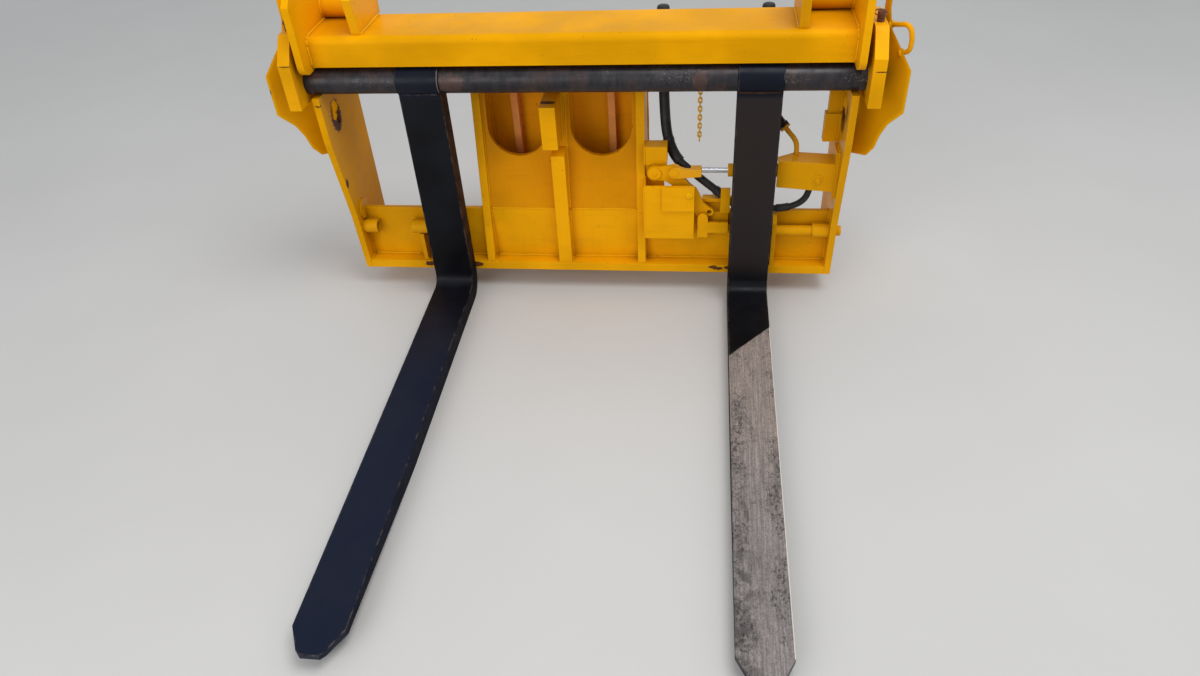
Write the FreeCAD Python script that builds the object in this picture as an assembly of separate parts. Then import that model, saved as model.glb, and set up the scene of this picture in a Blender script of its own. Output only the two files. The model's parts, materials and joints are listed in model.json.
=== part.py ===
"""Pallet fork carriage with quick hitch, off a telehandler, parked on its fork blades.

Millimetres. The carriage is drawn with X across it from the middle of the frame, positive to the
right as the driver sees it, Y from the front face of the fork shanks towards the machine, and Z up
from the floor. It is saved with its origin in the middle of its footprint.
"""
import FreeCAD, Part
import math
import os

V = FreeCAD.Vector
SIDES = {"left": -1, "right": 1}

# Forks
FORK_WIDTH = 100.0
FORK_THICK = 45.0
FORK_LENGTH = 1100.0
FORK_TIP_THICK = 12.0
FORK_TAPER_START = 620.0
FORK_TIP_CHAMFER = 54.0
FORK_TIP_WIDTH = 52.0
HEEL_INNER_RADIUS = 28.0
HEEL_OUTER_RADIUS = 58.0

# Fork shaft, its sleeves and the eyes of the forks
SHAFT_RADIUS = 20.0
SHAFT_HEIGHT = 603.0
SHAFT_Y = FORK_THICK / 2
SHAFT_OVERHANG = 8.0
SLEEVE_RADIUS = 30.0
SLEEVE_CLEARANCE = 0.1
SLEEVE_SIDE_GAP = 0.5
EYE_RADIUS = 34.0
RUNNING_CLEARANCE = 0.05

# Frame plates, measured across the carriage from its middle
SIDE_INNER = 608.0
FORK_CENTRE = {"left": -0.602 * SIDE_INNER, "right": 0.676 * SIDE_INNER}
SIDE_THICK = 16.0
SIDE_BACK = 222.0
SIDE_NOSE_FRONT = -40.0
SIDE_NOSE_RADIUS = 26.0
SIDE_LIP_FRONT = -12.0
NOTCH_CLEARANCE = 1.0
KEYHOLE_RADIUS = 24.0
KEYHOLE_Y = 62.0
KEYHOLE_DROP = 91.0
EAR_GAP = 12.0
EAR_THICK = 28.0
EAR_FRONT = -50.0
EAR_BACK = 112.0
EAR_BELOW_SHAFT = 43.0
EAR_ABOVE_SHAFT = 119.0
EAR_BEND_RISE = 65.0
KEEPER_PIN_RADIUS = 8.0
KEEPER_PIN_STAND = 22.0
GUIDE_SPREAD = 101.0
GUIDE_THICK = 14.0
GUIDE_ROOT_Y = 98.0
GUIDE_ROOT_DROP = 175.0
GUIDE_LOWER = [(0.08, 163.0), (0.30, 138.0), (0.42, 102.0), (0.60, 70.0), (1.0, 32.0)]
GUIDE_UPPER = [(1.0, 98.0), (0.26, 22.0), (0.15, -18.0)]
GUIDE_TOP_DROP = 30.0
EAR_INNER = SIDE_INNER + SIDE_THICK + EAR_GAP
EAR_BOTTOM = SHAFT_HEIGHT - EAR_BELOW_SHAFT
EAR_TOP = SHAFT_HEIGHT + EAR_ABOVE_SHAFT

# Top beam, a folded channel over the shaft
BEAM_FRONT = 3.0
BEAM_BACK = 170.0
BEAM_RISE = 107.0
BEAM_OVER_EYES = 5.0
BEAM_BACK_DROP = 110.0
BEAM_WALL = 12.0
BEAM_FOLD = 16.0
BEAM_TOP = SHAFT_HEIGHT + BEAM_RISE
BEAM_FRONT_BOTTOM = SHAFT_HEIGHT + EYE_RADIUS + BEAM_OVER_EYES
BEAM_BACK_BOTTOM = BEAM_TOP - BEAM_BACK_DROP
SIDE_RISE = 120.0
SIDE_TOP = BEAM_TOP + SIDE_RISE
UPRIGHT_INNER = SIDE_INNER - 124.0
UPRIGHT_THICK = 20.0
UPRIGHT_FRONT = 4.0
GUARD_HOLE_RADIUS = 18.0
GUARD_HOLE_Y = 94.0
GUARD_HOLE_DROP = 45.0
GUARD_HOLE_Z = SIDE_TOP - GUARD_HOLE_DROP
STUB_RADIUS = 25.0
STUB_Y = 144.0

# Lower cross-member
SEAT_CLEARANCE = 0.3
LOWER_FRONT = FORK_THICK + SEAT_CLEARANCE
LOWER_BOTTOM = 61.0
BOTTOM_THICK = 23.0
WEB_FRONT = 82.0
WEB_THICK = 12.0
WEB_TOP = 228.0

# Hitch: ribs, saddle, rear plate and pivot cheeks
HITCH_X = -68.0
RIB_OFFSET = 203.0
RIB_THICK = 20.0
CENTRE_RIB_THICK = 34.0
RIB_BACK = 242.0
RIB_TOP = BEAM_BACK_BOTTOM
CENTRE_RIB_DROP = 211.0
CENTRE_RIB_STEP = SHAFT_HEIGHT - CENTRE_RIB_DROP
CENTRE_RIB_SET = 2.0
RIB_FOOT_FRONT = 50.0
RIB_HEAD_FRONT = 136.0
SADDLE_HEAD_Y = 152.0
SADDLE_THICK = 12.0
SADDLE_NOTCH_RADIUS = 77.0
SADDLE_NOTCH_BOTTOM = 366.0
STOP_FRONT = 40.0
STOP_DROP = 78.0
STOP_HEIGHT = 109.0
STOP_WIDTH = 38.0
STOP_OFFSET = -12.0
REAR_THICK = 12.0
STIFFENER_FRONT = 200.0
CHEEK_OFFSET = 124.0
CHEEK_THICK = 25.0
PIVOT_Y = 330.0
PIVOT_RADIUS = 25.0
PIVOT_BOSS = 62.0
PIVOT_Z = PIVOT_BOSS
TILT_Y = 336.0
TILT_Z = 470.0
TILT_RADIUS = 20.0
TILT_BOSS = 50.0
CHEEK_WAIST_Z = 230.0

# Lock: bar, lever and ram
MOUNT_THICK = 7.0
MOUNT_BELOW = 109.0
MOUNT_ABOVE = 40.0
MOUNT_REACH = 43.0
MOUNT_FOOT_BACK = 27.0
COVER_THICK = 6.0
COVER_LEFT = 37.0
COVER_BELOW = 26.0
TAB_THICK = 8.0
TAB_GAP = 5.0
LEVER_GAP = 5.0
LOCK_Y = 64.0
LOCK_Z = 182.0
LOCK_RADIUS = 13.0
LOCK_BOSS_WALL = 4.5
LOCK_BORE_CLEARANCE = 0.5
LOCK_BOSS_RADIUS = LOCK_RADIUS + LOCK_BORE_CLEARANCE + LOCK_BOSS_WALL
LOCK_BOSS_SPANS = [
    (-SIDE_INNER, 38.0 - SIDE_INNER),
    (FORK_CENTRE["left"] - 108.0, FORK_CENTRE["left"] - 64.0),
    (SIDE_INNER - 41.0, SIDE_INNER),
]
LOCK_PAD_RADIUS = 27.0
LOCK_PAD_THICK = 5.0
LOCK_BAR_LEFT = 330.0
LOCK_BAR_RIGHT = SIDE_INNER + 30.0
LEVER_FRONT = 58.0
LEVER_THICK = 10.0
LEVER_PIVOT = (227.0, 281.0)
LEVER_DISC = (172.0, 343.0)
LEVER_TOP = (220.0, 350.0)
LEVER_RING = (308.0, 236.0)
LEVER_BOTTOM = (292.0, 216.0)
LEVER_DISC_RADIUS = 19.0
LEVER_TOP_RADIUS = 16.0
LEVER_HUB = 20.0
LEVER_PIN_RADIUS = 8.0
LEVER_RING_RADIUS = 11.0
LEVER_RING_HOLE = 6.0
LEVER_EYE = 13.0
PIN_RADIUS = 6.0
TAB_WIDTH = 26.0
STRAP_FOOT = LOCK_Z + 1.0
STRAP_HEIGHT = 29.0
TAB_BACK = LEVER_FRONT - LEVER_GAP
TAB_FRONT = TAB_BACK - TAB_THICK
MOUNT_BACK = TAB_FRONT - TAB_GAP
MOUNT_FRONT = MOUNT_BACK - MOUNT_THICK
SLOT_BELOW = 30.0
SLOT_ABOVE = 8.0
SLOT_SIDE = 2.5
ROD_EYE_CLEARANCE = 3.0
RAM_Y = 67.0
RAM_Z = LEVER_TOP[1]
RAM_RADIUS = 16.0
RAM_PIN_RADIUS = 8.0
RAM_FRONT = 350.0
RAM_PIN_X = SIDE_INNER - 43.0
RAM_END = RAM_PIN_X - 14.0
RAM_CAP = 31.0
RAM_STROKE_ROOM = RAM_END - RAM_CAP - RAM_FRONT
RAM_ROD_RADIUS = 6.5
ROD_SHORT = 50.0
CLEVIS_RADIUS = 14.0
CLEVIS_NECK = 40.0
CLEVIS_LENGTH = 66.0
CLEVIS_HALF = 9.0
RAM_PORT_X = RAM_PIN_X - 14.0
RAM_PORT_RADIUS = 10.0
RAM_PORT_Z = 322.0
HOSE_BLOCK_X = 290.0
HOSE_BLOCK_WIDTH = 68.0
HOSE_BLOCK_HEIGHT = 76.0
HOSE_BLOCK_FRONT = WEB_FRONT - 30.0
HOSE_BLOCK_PLATE = 10.0
HOSE_BLOCK_SHELF = 29.0
HOUSING_SIDE_GAP = 6.0
HOUSING_PLATE = 6.0
HOUSING_ROOM = 5.0
HOUSING_LEFT = FORK_CENTRE["right"] + FORK_WIDTH / 2 + HOUSING_SIDE_GAP
HOUSING_ROOT = (-45.0, 29.0)
HOUSING_TIP = (-32.0, 38.0)
HOUSING_TAPER = 45.0
HOUSING_TIP_DEPTH = 22.0
FLANGE_THICK = 8.0
FLANGE_SPAN = (-62.0, 60.0)
BRACKET_RISES = (61.0, 132.0, 210.0)
BRACKET_Y = (96.0, 118.0)
BRACKET_WIDTH = 36.0
ANCHOR_WIDTH = 56.0
ANCHOR_FRONT = 76.0
ANCHOR_DEPTH = 38.0
ANCHOR_SPAN = (LEVER_DISC[1] + 15.0, LEVER_DISC[1] + 63.0)

# Hoses, their fittings, chain and handle; each route is a list of points
HOSE_SIDES = 12
HOSE_STEP = 12.0
ROD_STEP = 20.0
HOSE_NUT_RADIUS = 13.0
HOSE_NUT_LENGTH = 12.0
COUPLER_X = (188.0, 430.0)
COUPLER_Y = BEAM_BACK + 27.0
COUPLER_Z = BEAM_TOP - 70.0
COUPLER_LENGTH = 62.0
COUPLER_RADIUS = 14.0
HOLDER_SPAN = (14.0, 32.0)
HOLDER_HALF = 18.0
HOLDER_LAP = 8.0
LOCK_HOSE_RADIUS = 10.0
LOCK_HOSE_ROUTE = [
    (COUPLER_X[0], COUPLER_Y, COUPLER_Z),
    (188.0, 178.0, 440.0),
    (211.0, 122.0, 366.0),
    (260.0, 90.0, 333.0),
    (HOSE_BLOCK_X + 58, 77.0, 268.0),
]
RAM_HOSE_RADIUS = 8.0
RAM_HOSE_ROUTE = [
    (RAM_PORT_X, RAM_Y, RAM_PORT_Z - 0.6),
    (RAM_PORT_X - 1, RAM_Y, 297.0),
    (438.0, 75.0, 240.0),
    (406.0, 76.0, 258.0),
    (HOSE_BLOCK_X + HOSE_BLOCK_WIDTH + 12, 76.0, 259.0),
]
ELBOW_RADIUS = 6.0
ELBOW_ROUTE = [
    (HOUSING_LEFT + 45, 82.0, RAM_Z + 34),
    (HOUSING_LEFT + 44, 86.0, 416.0),
    (474.0, 110.0, 452.0),
]
RETURN_HOSE_RADIUS = 9.0
RETURN_HOSE_ROUTE = [
    ELBOW_ROUTE[-1],
    tuple(b + (b - a) * 0.6 for a, b in zip(ELBOW_ROUTE[-2], ELBOW_ROUTE[-1])),
    (437.0, 160.0, 530.0),
    (431.0, 192.0, 588.0),
    (COUPLER_X[1], COUPLER_Y, COUPLER_Z),
]
CHAIN_X = 278.5
CHAIN_LINKS = 19
CHAIN_WIRE = 2.5
CHAIN_PITCH = 12.2
CHAIN_SLACK = 1.0
CHAIN_GAP = 5.0
CHAIN_TAB = 12.0
HANDLE_RADIUS = 5.5
HANDLE_POINTS = [(54.0, 17.0), (87.0, 6.0), (95.0, 34.0), (93.0, 62.0), (79.0, 69.0)]
HANDLE_ROUTE = [
    (SIDE_INNER + SIDE_THICK + out, GUIDE_ROOT_Y + GUIDE_THICK / 2 - out, EAR_TOP - down)
    for out, down in HANDLE_POINTS
]

REAR_REACH = PIVOT_Y + PIVOT_BOSS
ORIGIN_SHIFT = (FORK_LENGTH - REAR_REACH) / 2


def save(node, shape):
    """Writes one sub-part, moved so that the origin is in the middle of the footprint."""
    placed = shape.copy()
    placed.translate(V(0, ORIGIN_SHIFT, 0))
    placed.exportStep("parts/%s.step" % node)


def box(x0, x1, y0, y1, z0, z1):
    return Part.makeBox(x1 - x0, y1 - y0, z1 - z0, V(x0, y0, z0))


def bar(axis, centre, radius, start, end):
    """A round bar along X, Y or Z; centre holds its two other coordinates in X, Y, Z order."""
    base = {"x": V(start, *centre), "y": V(centre[0], start, centre[1]), "z": V(*centre, start)}
    way = {"x": V(1, 0, 0), "y": V(0, 1, 0), "z": V(0, 0, 1)}
    return Part.makeCylinder(radius, end - start, base[axis], way[axis])


def tube(axis, centre, outer, inner, start, end):
    return bar(axis, centre, outer, start, end).cut(bar(axis, centre, inner, start, end))


def prism(axis, points, start, end):
    """A plate with the given outline, thick along X, Y or Z; points hold the other two."""
    place = {
        "x": lambda p: V(start, p[0], p[1]),
        "y": lambda p: V(p[0], start, p[1]),
        "z": lambda p: V(p[0], p[1], start),
    }[axis]
    way = {"x": V(end - start, 0, 0), "y": V(0, end - start, 0), "z": V(0, 0, end - start)}[axis]
    corners = [place(p) for p in points]
    return Part.Face(Part.makePolygon(corners + corners[:1])).extrude(way)


def on_side(shape, side):
    """A shape drawn on the right, or its mirror image on the left."""
    return shape if side > 0 else shape.mirror(V(0, 0, 0), V(1, 0, 0))


def fuse(shapes):
    joined = shapes[0]
    for shape in shapes[1:]:
        joined = joined.fuse(shape)
    return joined.removeSplitter()


def along(start, end, share):
    return start + (end - start) * share


def make_fork():
    """A fork about x = 0: shank, heel bend, blade tapered underneath, and the eye at its top."""
    reach = -FORK_LENGTH
    inner = HEEL_INNER_RADIUS
    outer = HEEL_OUTER_RADIUS
    tangent = math.sqrt(0.5)
    points = {
        "eye_back": V(0, FORK_THICK, SHAFT_HEIGHT),
        "heel_back": V(0, FORK_THICK, outer),
        "heel_mid": V(0, FORK_THICK - outer * (1 - tangent), outer * (1 - tangent)),
        "heel_floor": V(0, FORK_THICK - outer, 0),
        "taper": V(0, -FORK_TAPER_START, 0),
        "tip_low": V(0, reach, FORK_THICK - FORK_TIP_THICK),
        "tip_high": V(0, reach, FORK_THICK),
        "blade_end": V(0, -inner, FORK_THICK),
        "bend_mid": V(0, -inner * (1 - tangent), FORK_THICK + inner * (1 - tangent)),
        "bend_top": V(0, 0, FORK_THICK + inner),
        "eye_front": V(0, 0, SHAFT_HEIGHT),
    }
    p = points
    edges = [
        Part.LineSegment(p["eye_back"], p["heel_back"]).toShape(),
        Part.Arc(p["heel_back"], p["heel_mid"], p["heel_floor"]).toShape(),
        Part.LineSegment(p["heel_floor"], p["taper"]).toShape(),
        Part.LineSegment(p["taper"], p["tip_low"]).toShape(),
        Part.LineSegment(p["tip_low"], p["tip_high"]).toShape(),
        Part.LineSegment(p["tip_high"], p["blade_end"]).toShape(),
        Part.Arc(p["blade_end"], p["bend_mid"], p["bend_top"]).toShape(),
        Part.LineSegment(p["bend_top"], p["eye_front"]).toShape(),
        Part.LineSegment(p["eye_front"], p["eye_back"]).toShape(),
    ]
    half = FORK_WIDTH / 2
    body = Part.Face(Part.Wire(edges)).extrude(V(FORK_WIDTH, 0, 0))
    body.translate(V(-half, 0, 0))
    tip = FORK_TIP_WIDTH / 2
    round_off = tip * 0.3
    plan = prism("z", [
        (-half, FORK_THICK + 1),
        (-half, reach + FORK_TIP_CHAMFER),
        (-tip, reach + round_off),
        (-tip + round_off, reach),
        (tip - round_off, reach),
        (tip, reach + round_off),
        (half, reach + FORK_TIP_CHAMFER),
        (half, FORK_THICK + 1),
    ], -1, SHAFT_HEIGHT + 1)
    body = body.common(plan)
    eye = bar("x", (SHAFT_Y, SHAFT_HEIGHT), EYE_RADIUS, -half, half)
    bore = bar("x", (SHAFT_Y, SHAFT_HEIGHT), SHAFT_RADIUS + RUNNING_CLEARANCE, -half - 1, half + 1)
    return fuse([body, eye]).cut(bore)


def make_sleeves():
    """Three sleeves on the shaft that keep the forks at their places."""
    half = FORK_WIDTH / 2 + SLEEVE_SIDE_GAP
    stops = [
        (-EAR_INNER, FORK_CENTRE["left"] - half),
        (FORK_CENTRE["left"] + half, FORK_CENTRE["right"] - half),
        (FORK_CENTRE["right"] + half, EAR_INNER),
    ]
    centre = (SHAFT_Y, SHAFT_HEIGHT)
    inner = SHAFT_RADIUS + SLEEVE_CLEARANCE
    return Part.makeCompound([tube("x", centre, SLEEVE_RADIUS, inner, a, b) for a, b in stops])


def make_side_plate():
    """The right side plate: leaning lower front edge, open notch for the shaft, and upper nose."""
    outer = SIDE_INNER + SIDE_THICK
    notch = SLEEVE_RADIUS + NOTCH_CLEARANCE
    notch_top = SHAFT_HEIGHT + notch
    plate = prism("x", [
        (LOWER_FRONT, LOWER_BOTTOM),
        (LOWER_FRONT - 14, WEB_TOP + 7),
        (SIDE_LIP_FRONT + 4, SHAFT_HEIGHT - notch - 117),
        (SIDE_LIP_FRONT, SHAFT_HEIGHT - notch),
        (SHAFT_Y, SHAFT_HEIGHT - notch),
        (SHAFT_Y, notch_top),
        (SIDE_NOSE_FRONT + SIDE_NOSE_RADIUS, notch_top),
        (SIDE_NOSE_FRONT, notch_top + SIDE_NOSE_RADIUS),
        (SIDE_NOSE_FRONT, SIDE_TOP - 40),
        (SIDE_NOSE_FRONT + 40, SIDE_TOP),
        (SIDE_BACK - 60, SIDE_TOP),
        (SIDE_BACK, SIDE_TOP - 90),
        (SIDE_BACK, LOWER_BOTTOM + 60),
        (SIDE_BACK - 40, LOWER_BOTTOM),
    ], SIDE_INNER, outer)
    nose = bar("x", (SIDE_NOSE_FRONT + SIDE_NOSE_RADIUS, notch_top + SIDE_NOSE_RADIUS),
               SIDE_NOSE_RADIUS, SIDE_INNER, outer)
    key_z = SHAFT_HEIGHT - KEYHOLE_DROP
    cuts = [
        bar("x", (SHAFT_Y, SHAFT_HEIGHT), notch, SIDE_INNER - 1, outer + 1),
        bar("x", (GUARD_HOLE_Y, GUARD_HOLE_Z), GUARD_HOLE_RADIUS, SIDE_INNER - 1, outer + 1),
        bar("x", (KEYHOLE_Y, key_z), KEYHOLE_RADIUS, SIDE_INNER - 1, outer + 1),
        prism("x", [
            (KEYHOLE_Y - KEYHOLE_RADIUS, key_z),
            (KEYHOLE_Y + KEYHOLE_RADIUS, key_z),
            (KEYHOLE_Y + KEYHOLE_RADIUS * 0.6, key_z - KEYHOLE_RADIUS * 1.4),
            (KEYHOLE_Y + KEYHOLE_RADIUS * 0.2, key_z - KEYHOLE_RADIUS * 1.6),
        ], SIDE_INNER - 1, outer + 1),
        bar("x", (LOCK_Y, LOCK_Z), LOCK_RADIUS + LOCK_BORE_CLEARANCE, SIDE_INNER - 1, outer + 1),
    ]
    plate = fuse([plate, nose])
    for cutter in cuts:
        plate = plate.cut(cutter)
    return plate


def make_ear():
    """The right ear: thick plate that holds the end of the shaft, spaced off the side plate."""
    outer = EAR_INNER + EAR_THICK
    plate = prism("x", [
        (EAR_FRONT, EAR_BOTTOM),
        (EAR_FRONT, SHAFT_HEIGHT + EAR_BEND_RISE),
        (EAR_FRONT + 36, EAR_TOP - 8),
        (EAR_FRONT + 46, EAR_TOP),
        (EAR_BACK, EAR_TOP),
        (EAR_BACK, EAR_BOTTOM),
    ], EAR_INNER, outer)
    spacer = box(SIDE_INNER + SIDE_THICK, EAR_INNER, SHAFT_Y + SLEEVE_RADIUS + 12, EAR_BACK,
                 EAR_BOTTOM, EAR_TOP)
    bore = bar("x", (SHAFT_Y, SHAFT_HEIGHT), SHAFT_RADIUS + RUNNING_CLEARANCE, EAR_INNER - 1,
               outer + 1)
    pin_hole = bar("z", (EAR_INNER + EAR_THICK / 2, SHAFT_Y), KEEPER_PIN_RADIUS + RUNNING_CLEARANCE,
                   SHAFT_HEIGHT, EAR_TOP + 1)
    return fuse([plate, spacer]).cut(bore).cut(pin_hole)


def make_guide():
    """The right flared guide: a plate at 45 degrees outside the ear, cut to its front outline."""
    root = SIDE_INNER + SIDE_THICK
    reach = root + GUIDE_SPREAD
    ear_outer = EAR_INNER + EAR_THICK
    slant = GUIDE_ROOT_Y - GUIDE_SPREAD
    plan = prism("z", [
        (root, GUIDE_ROOT_Y),
        (reach, slant),
        (reach, slant + GUIDE_THICK),
        (root, GUIDE_ROOT_Y + GUIDE_THICK),
    ], LOWER_BOTTOM, SIDE_TOP)
    lower = [(along(ear_outer, reach, share), EAR_BOTTOM - drop) for share, drop in GUIDE_LOWER]
    upper = [(along(ear_outer, reach, share), EAR_TOP - drop) for share, drop in GUIDE_UPPER]
    high = SIDE_TOP - GUIDE_TOP_DROP
    outline = prism("y", [(root, EAR_BOTTOM - GUIDE_ROOT_DROP)] + lower + upper + [
        (upper[-1][0], high),
        (ear_outer, high),
        (ear_outer, EAR_BOTTOM),
        (root, EAR_BOTTOM),
    ], slant - 1, GUIDE_ROOT_Y + GUIDE_THICK + 1)
    return plan.common(outline)


def beam_edge(y):
    """The height of the top beam's lower edge, which rises towards the front."""
    return along(BEAM_FRONT_BOTTOM, BEAM_BACK_BOTTOM, (y - BEAM_FRONT) / (BEAM_BACK - BEAM_FRONT))


def make_top_beam():
    """Folded channel, open below: short front flange over the shaft, longer rear flange."""
    y0, y1, top = BEAM_FRONT, BEAM_BACK, BEAM_TOP
    wall, fold = BEAM_WALL, BEAM_FOLD
    length = 2 * SIDE_INNER

    def section(front, back, high, low_front, low_back, radius):
        t = radius * (1 - math.sqrt(0.5))
        corner_front = Part.Arc(V(0, front, high - radius), V(0, front + t, high - t),
                                V(0, front + radius, high))
        corner_back = Part.Arc(V(0, back - radius, high), V(0, back - t, high - t),
                               V(0, back, high - radius))
        lines = [
            (V(0, front, low_front), V(0, front, high - radius)),
            (V(0, front + radius, high), V(0, back - radius, high)),
            (V(0, back, high - radius), V(0, back, low_back)),
            (V(0, back, low_back), V(0, front, low_front)),
        ]
        a, b, c, d = [Part.LineSegment(*pair).toShape() for pair in lines]
        wire = Part.Wire([a, corner_front.toShape(), b, corner_back.toShape(), c, d])
        return Part.Face(wire).extrude(V(length, 0, 0))

    outside = section(y0, y1, top, BEAM_FRONT_BOTTOM, BEAM_BACK_BOTTOM, fold)
    inside = section(y0 + wall, y1 - wall, top - wall, BEAM_FRONT_BOTTOM - 60,
                     BEAM_BACK_BOTTOM - 60, fold - wall)
    beam = outside.cut(inside)
    beam.translate(V(-SIDE_INNER, 0, 0))
    return beam


def make_upright():
    """The right inner upright: a plate on the beam with a hole for a load guard's pin."""
    x0, x1 = UPRIGHT_INNER, UPRIGHT_INNER + UPRIGHT_THICK
    plate = prism("x", [
        (UPRIGHT_FRONT + 16, BEAM_TOP),
        (UPRIGHT_FRONT, SIDE_TOP - 40),
        (UPRIGHT_FRONT + 40, SIDE_TOP),
        (BEAM_BACK - 40, SIDE_TOP),
        (BEAM_BACK, SIDE_TOP - 60),
        (BEAM_BACK, BEAM_TOP - BEAM_FOLD + 16),
    ], x0, x1)
    return plate.cut(bar("x", (GUARD_HOLE_Y, GUARD_HOLE_Z), GUARD_HOLE_RADIUS, x0 - 1, x1 + 1))


def make_lower():
    """The bottom plate and the web of the lower cross-member."""
    bottom = box(-SIDE_INNER, SIDE_INNER, LOWER_FRONT, SIDE_BACK - 40, LOWER_BOTTOM,
                 LOWER_BOTTOM + BOTTOM_THICK)
    web = box(-SIDE_INNER, SIDE_INNER, WEB_FRONT, WEB_FRONT + WEB_THICK,
              LOWER_BOTTOM + BOTTOM_THICK, WEB_TOP)
    return bottom, web


def rib_front(z):
    """How far back the front edge of an outer rib is at a height."""
    foot = LOWER_BOTTOM + BOTTOM_THICK
    return along(RIB_FOOT_FRONT, RIB_HEAD_FRONT, (z - foot) / (RIB_TOP - foot))


def make_outer_rib(centre):
    """An outer rib of the hitch, cut out for the web and the bottom plate that pass through it."""
    foot = LOWER_BOTTOM + BOTTOM_THICK
    x0, x1 = centre - RIB_THICK / 2, centre + RIB_THICK / 2
    rib = prism("x", [
        (rib_front(foot), foot),
        (rib_front(RIB_TOP), RIB_TOP),
        (RIB_BACK, RIB_TOP),
        (RIB_BACK, foot),
    ], x0, x1)
    return rib.cut(make_lower()[1])


def saddle_front(z):
    """How far back the saddle's leaning front is at a height."""
    return along(WEB_FRONT, SADDLE_HEAD_Y, (z - WEB_TOP) / (RIB_TOP - WEB_TOP))


def make_centre_rib():
    """The middle rib, set back above a step to just in front of the saddle."""
    foot = LOWER_BOTTOM + BOTTOM_THICK
    x0 = HITCH_X - CENTRE_RIB_THICK / 2
    rib = prism("x", [
        (RIB_FOOT_FRONT - 2, foot),
        (RIB_FOOT_FRONT + 12, CENTRE_RIB_STEP - 4),
        (saddle_front(CENTRE_RIB_STEP) - CENTRE_RIB_SET, CENTRE_RIB_STEP),
        (saddle_front(RIB_TOP) - CENTRE_RIB_SET, RIB_TOP),
        (RIB_BACK - REAR_THICK, RIB_TOP),
        (RIB_BACK - REAR_THICK, foot),
    ], x0, x0 + CENTRE_RIB_THICK)
    return rib.cut(make_lower()[1])


def make_stop_block():
    """The block in front of the middle rib, under the shaft."""
    high = SHAFT_HEIGHT - STOP_DROP
    low = high - STOP_HEIGHT
    middle = HITCH_X + STOP_OFFSET
    return prism("x", [
        (STOP_FRONT, low),
        (STOP_FRONT, high),
        (saddle_front(high) - CENTRE_RIB_SET, high),
        (saddle_front(low) - CENTRE_RIB_SET, low),
    ], middle - STOP_WIDTH / 2, middle + STOP_WIDTH / 2)


def make_saddle():
    """Two leaning panels between the ribs, each with a deep round-bottomed notch."""
    rib_inner = RIB_OFFSET - RIB_THICK / 2
    centre_half = CENTRE_RIB_THICK / 2
    panels = []
    for x0, x1 in ((HITCH_X - rib_inner, HITCH_X - centre_half),
                   (HITCH_X + centre_half, HITCH_X + rib_inner)):
        panel = prism("x", [
            (saddle_front(WEB_TOP), WEB_TOP),
            (saddle_front(RIB_TOP), RIB_TOP),
            (saddle_front(RIB_TOP) + SADDLE_THICK, RIB_TOP),
            (saddle_front(WEB_TOP) + SADDLE_THICK, WEB_TOP),
        ], x0, x1)
        middle = (x0 + x1) / 2
        height = SADDLE_NOTCH_BOTTOM + SADDLE_NOTCH_RADIUS
        notch = bar("y", (middle, height), SADDLE_NOTCH_RADIUS, 0, RIB_BACK)
        mouth = box(middle - SADDLE_NOTCH_RADIUS, middle + SADDLE_NOTCH_RADIUS, 0, RIB_BACK,
                    height, RIB_TOP + 1)
        panels.append(panel.cut(notch).cut(mouth))
    return Part.makeCompound(panels)


def make_rear_plate():
    rib_inner = RIB_OFFSET - RIB_THICK / 2
    return box(HITCH_X - rib_inner, HITCH_X + rib_inner, RIB_BACK - REAR_THICK, RIB_BACK,
               LOWER_BOTTOM + BOTTOM_THICK, RIB_TOP)


def make_stiffeners():
    """Upright bars on the front of the rear plate, in line with the pivot cheeks."""
    bars = []
    for side in SIDES.values():
        centre = HITCH_X + side * CHEEK_OFFSET
        bars.append(box(centre - 9, centre + 9, STIFFENER_FRONT, RIB_BACK - REAR_THICK,
                        WEB_TOP, RIB_TOP))
    return Part.makeCompound(bars)


def make_cheek(side):
    """A pivot cheek behind the rear plate, with the boom's bore below and the tilt ram's above."""
    centre = HITCH_X + side * CHEEK_OFFSET
    x0, x1 = centre - CHEEK_THICK / 2, centre + CHEEK_THICK / 2
    plate = prism("x", [
        (RIB_BACK, LOWER_BOTTOM + BOTTOM_THICK),
        (PIVOT_Y - 20, 4),
        (PIVOT_Y + PIVOT_BOSS, PIVOT_Z),
        (PIVOT_Y + 20, CHEEK_WAIST_Z),
        (TILT_Y + TILT_BOSS, TILT_Z),
        (TILT_Y, TILT_Z + TILT_BOSS),
        (RIB_BACK, RIB_TOP - 30),
    ], x0, x1)
    cheek = fuse([
        plate,
        bar("x", (PIVOT_Y, PIVOT_Z), PIVOT_BOSS, x0, x1),
        bar("x", (TILT_Y, TILT_Z), TILT_BOSS, x0, x1),
    ])
    cheek = cheek.cut(bar("x", (PIVOT_Y, PIVOT_Z), PIVOT_RADIUS, x0 - 1, x1 + 1))
    return cheek.cut(bar("x", (TILT_Y, TILT_Z), TILT_RADIUS, x0 - 1, x1 + 1))


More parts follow.
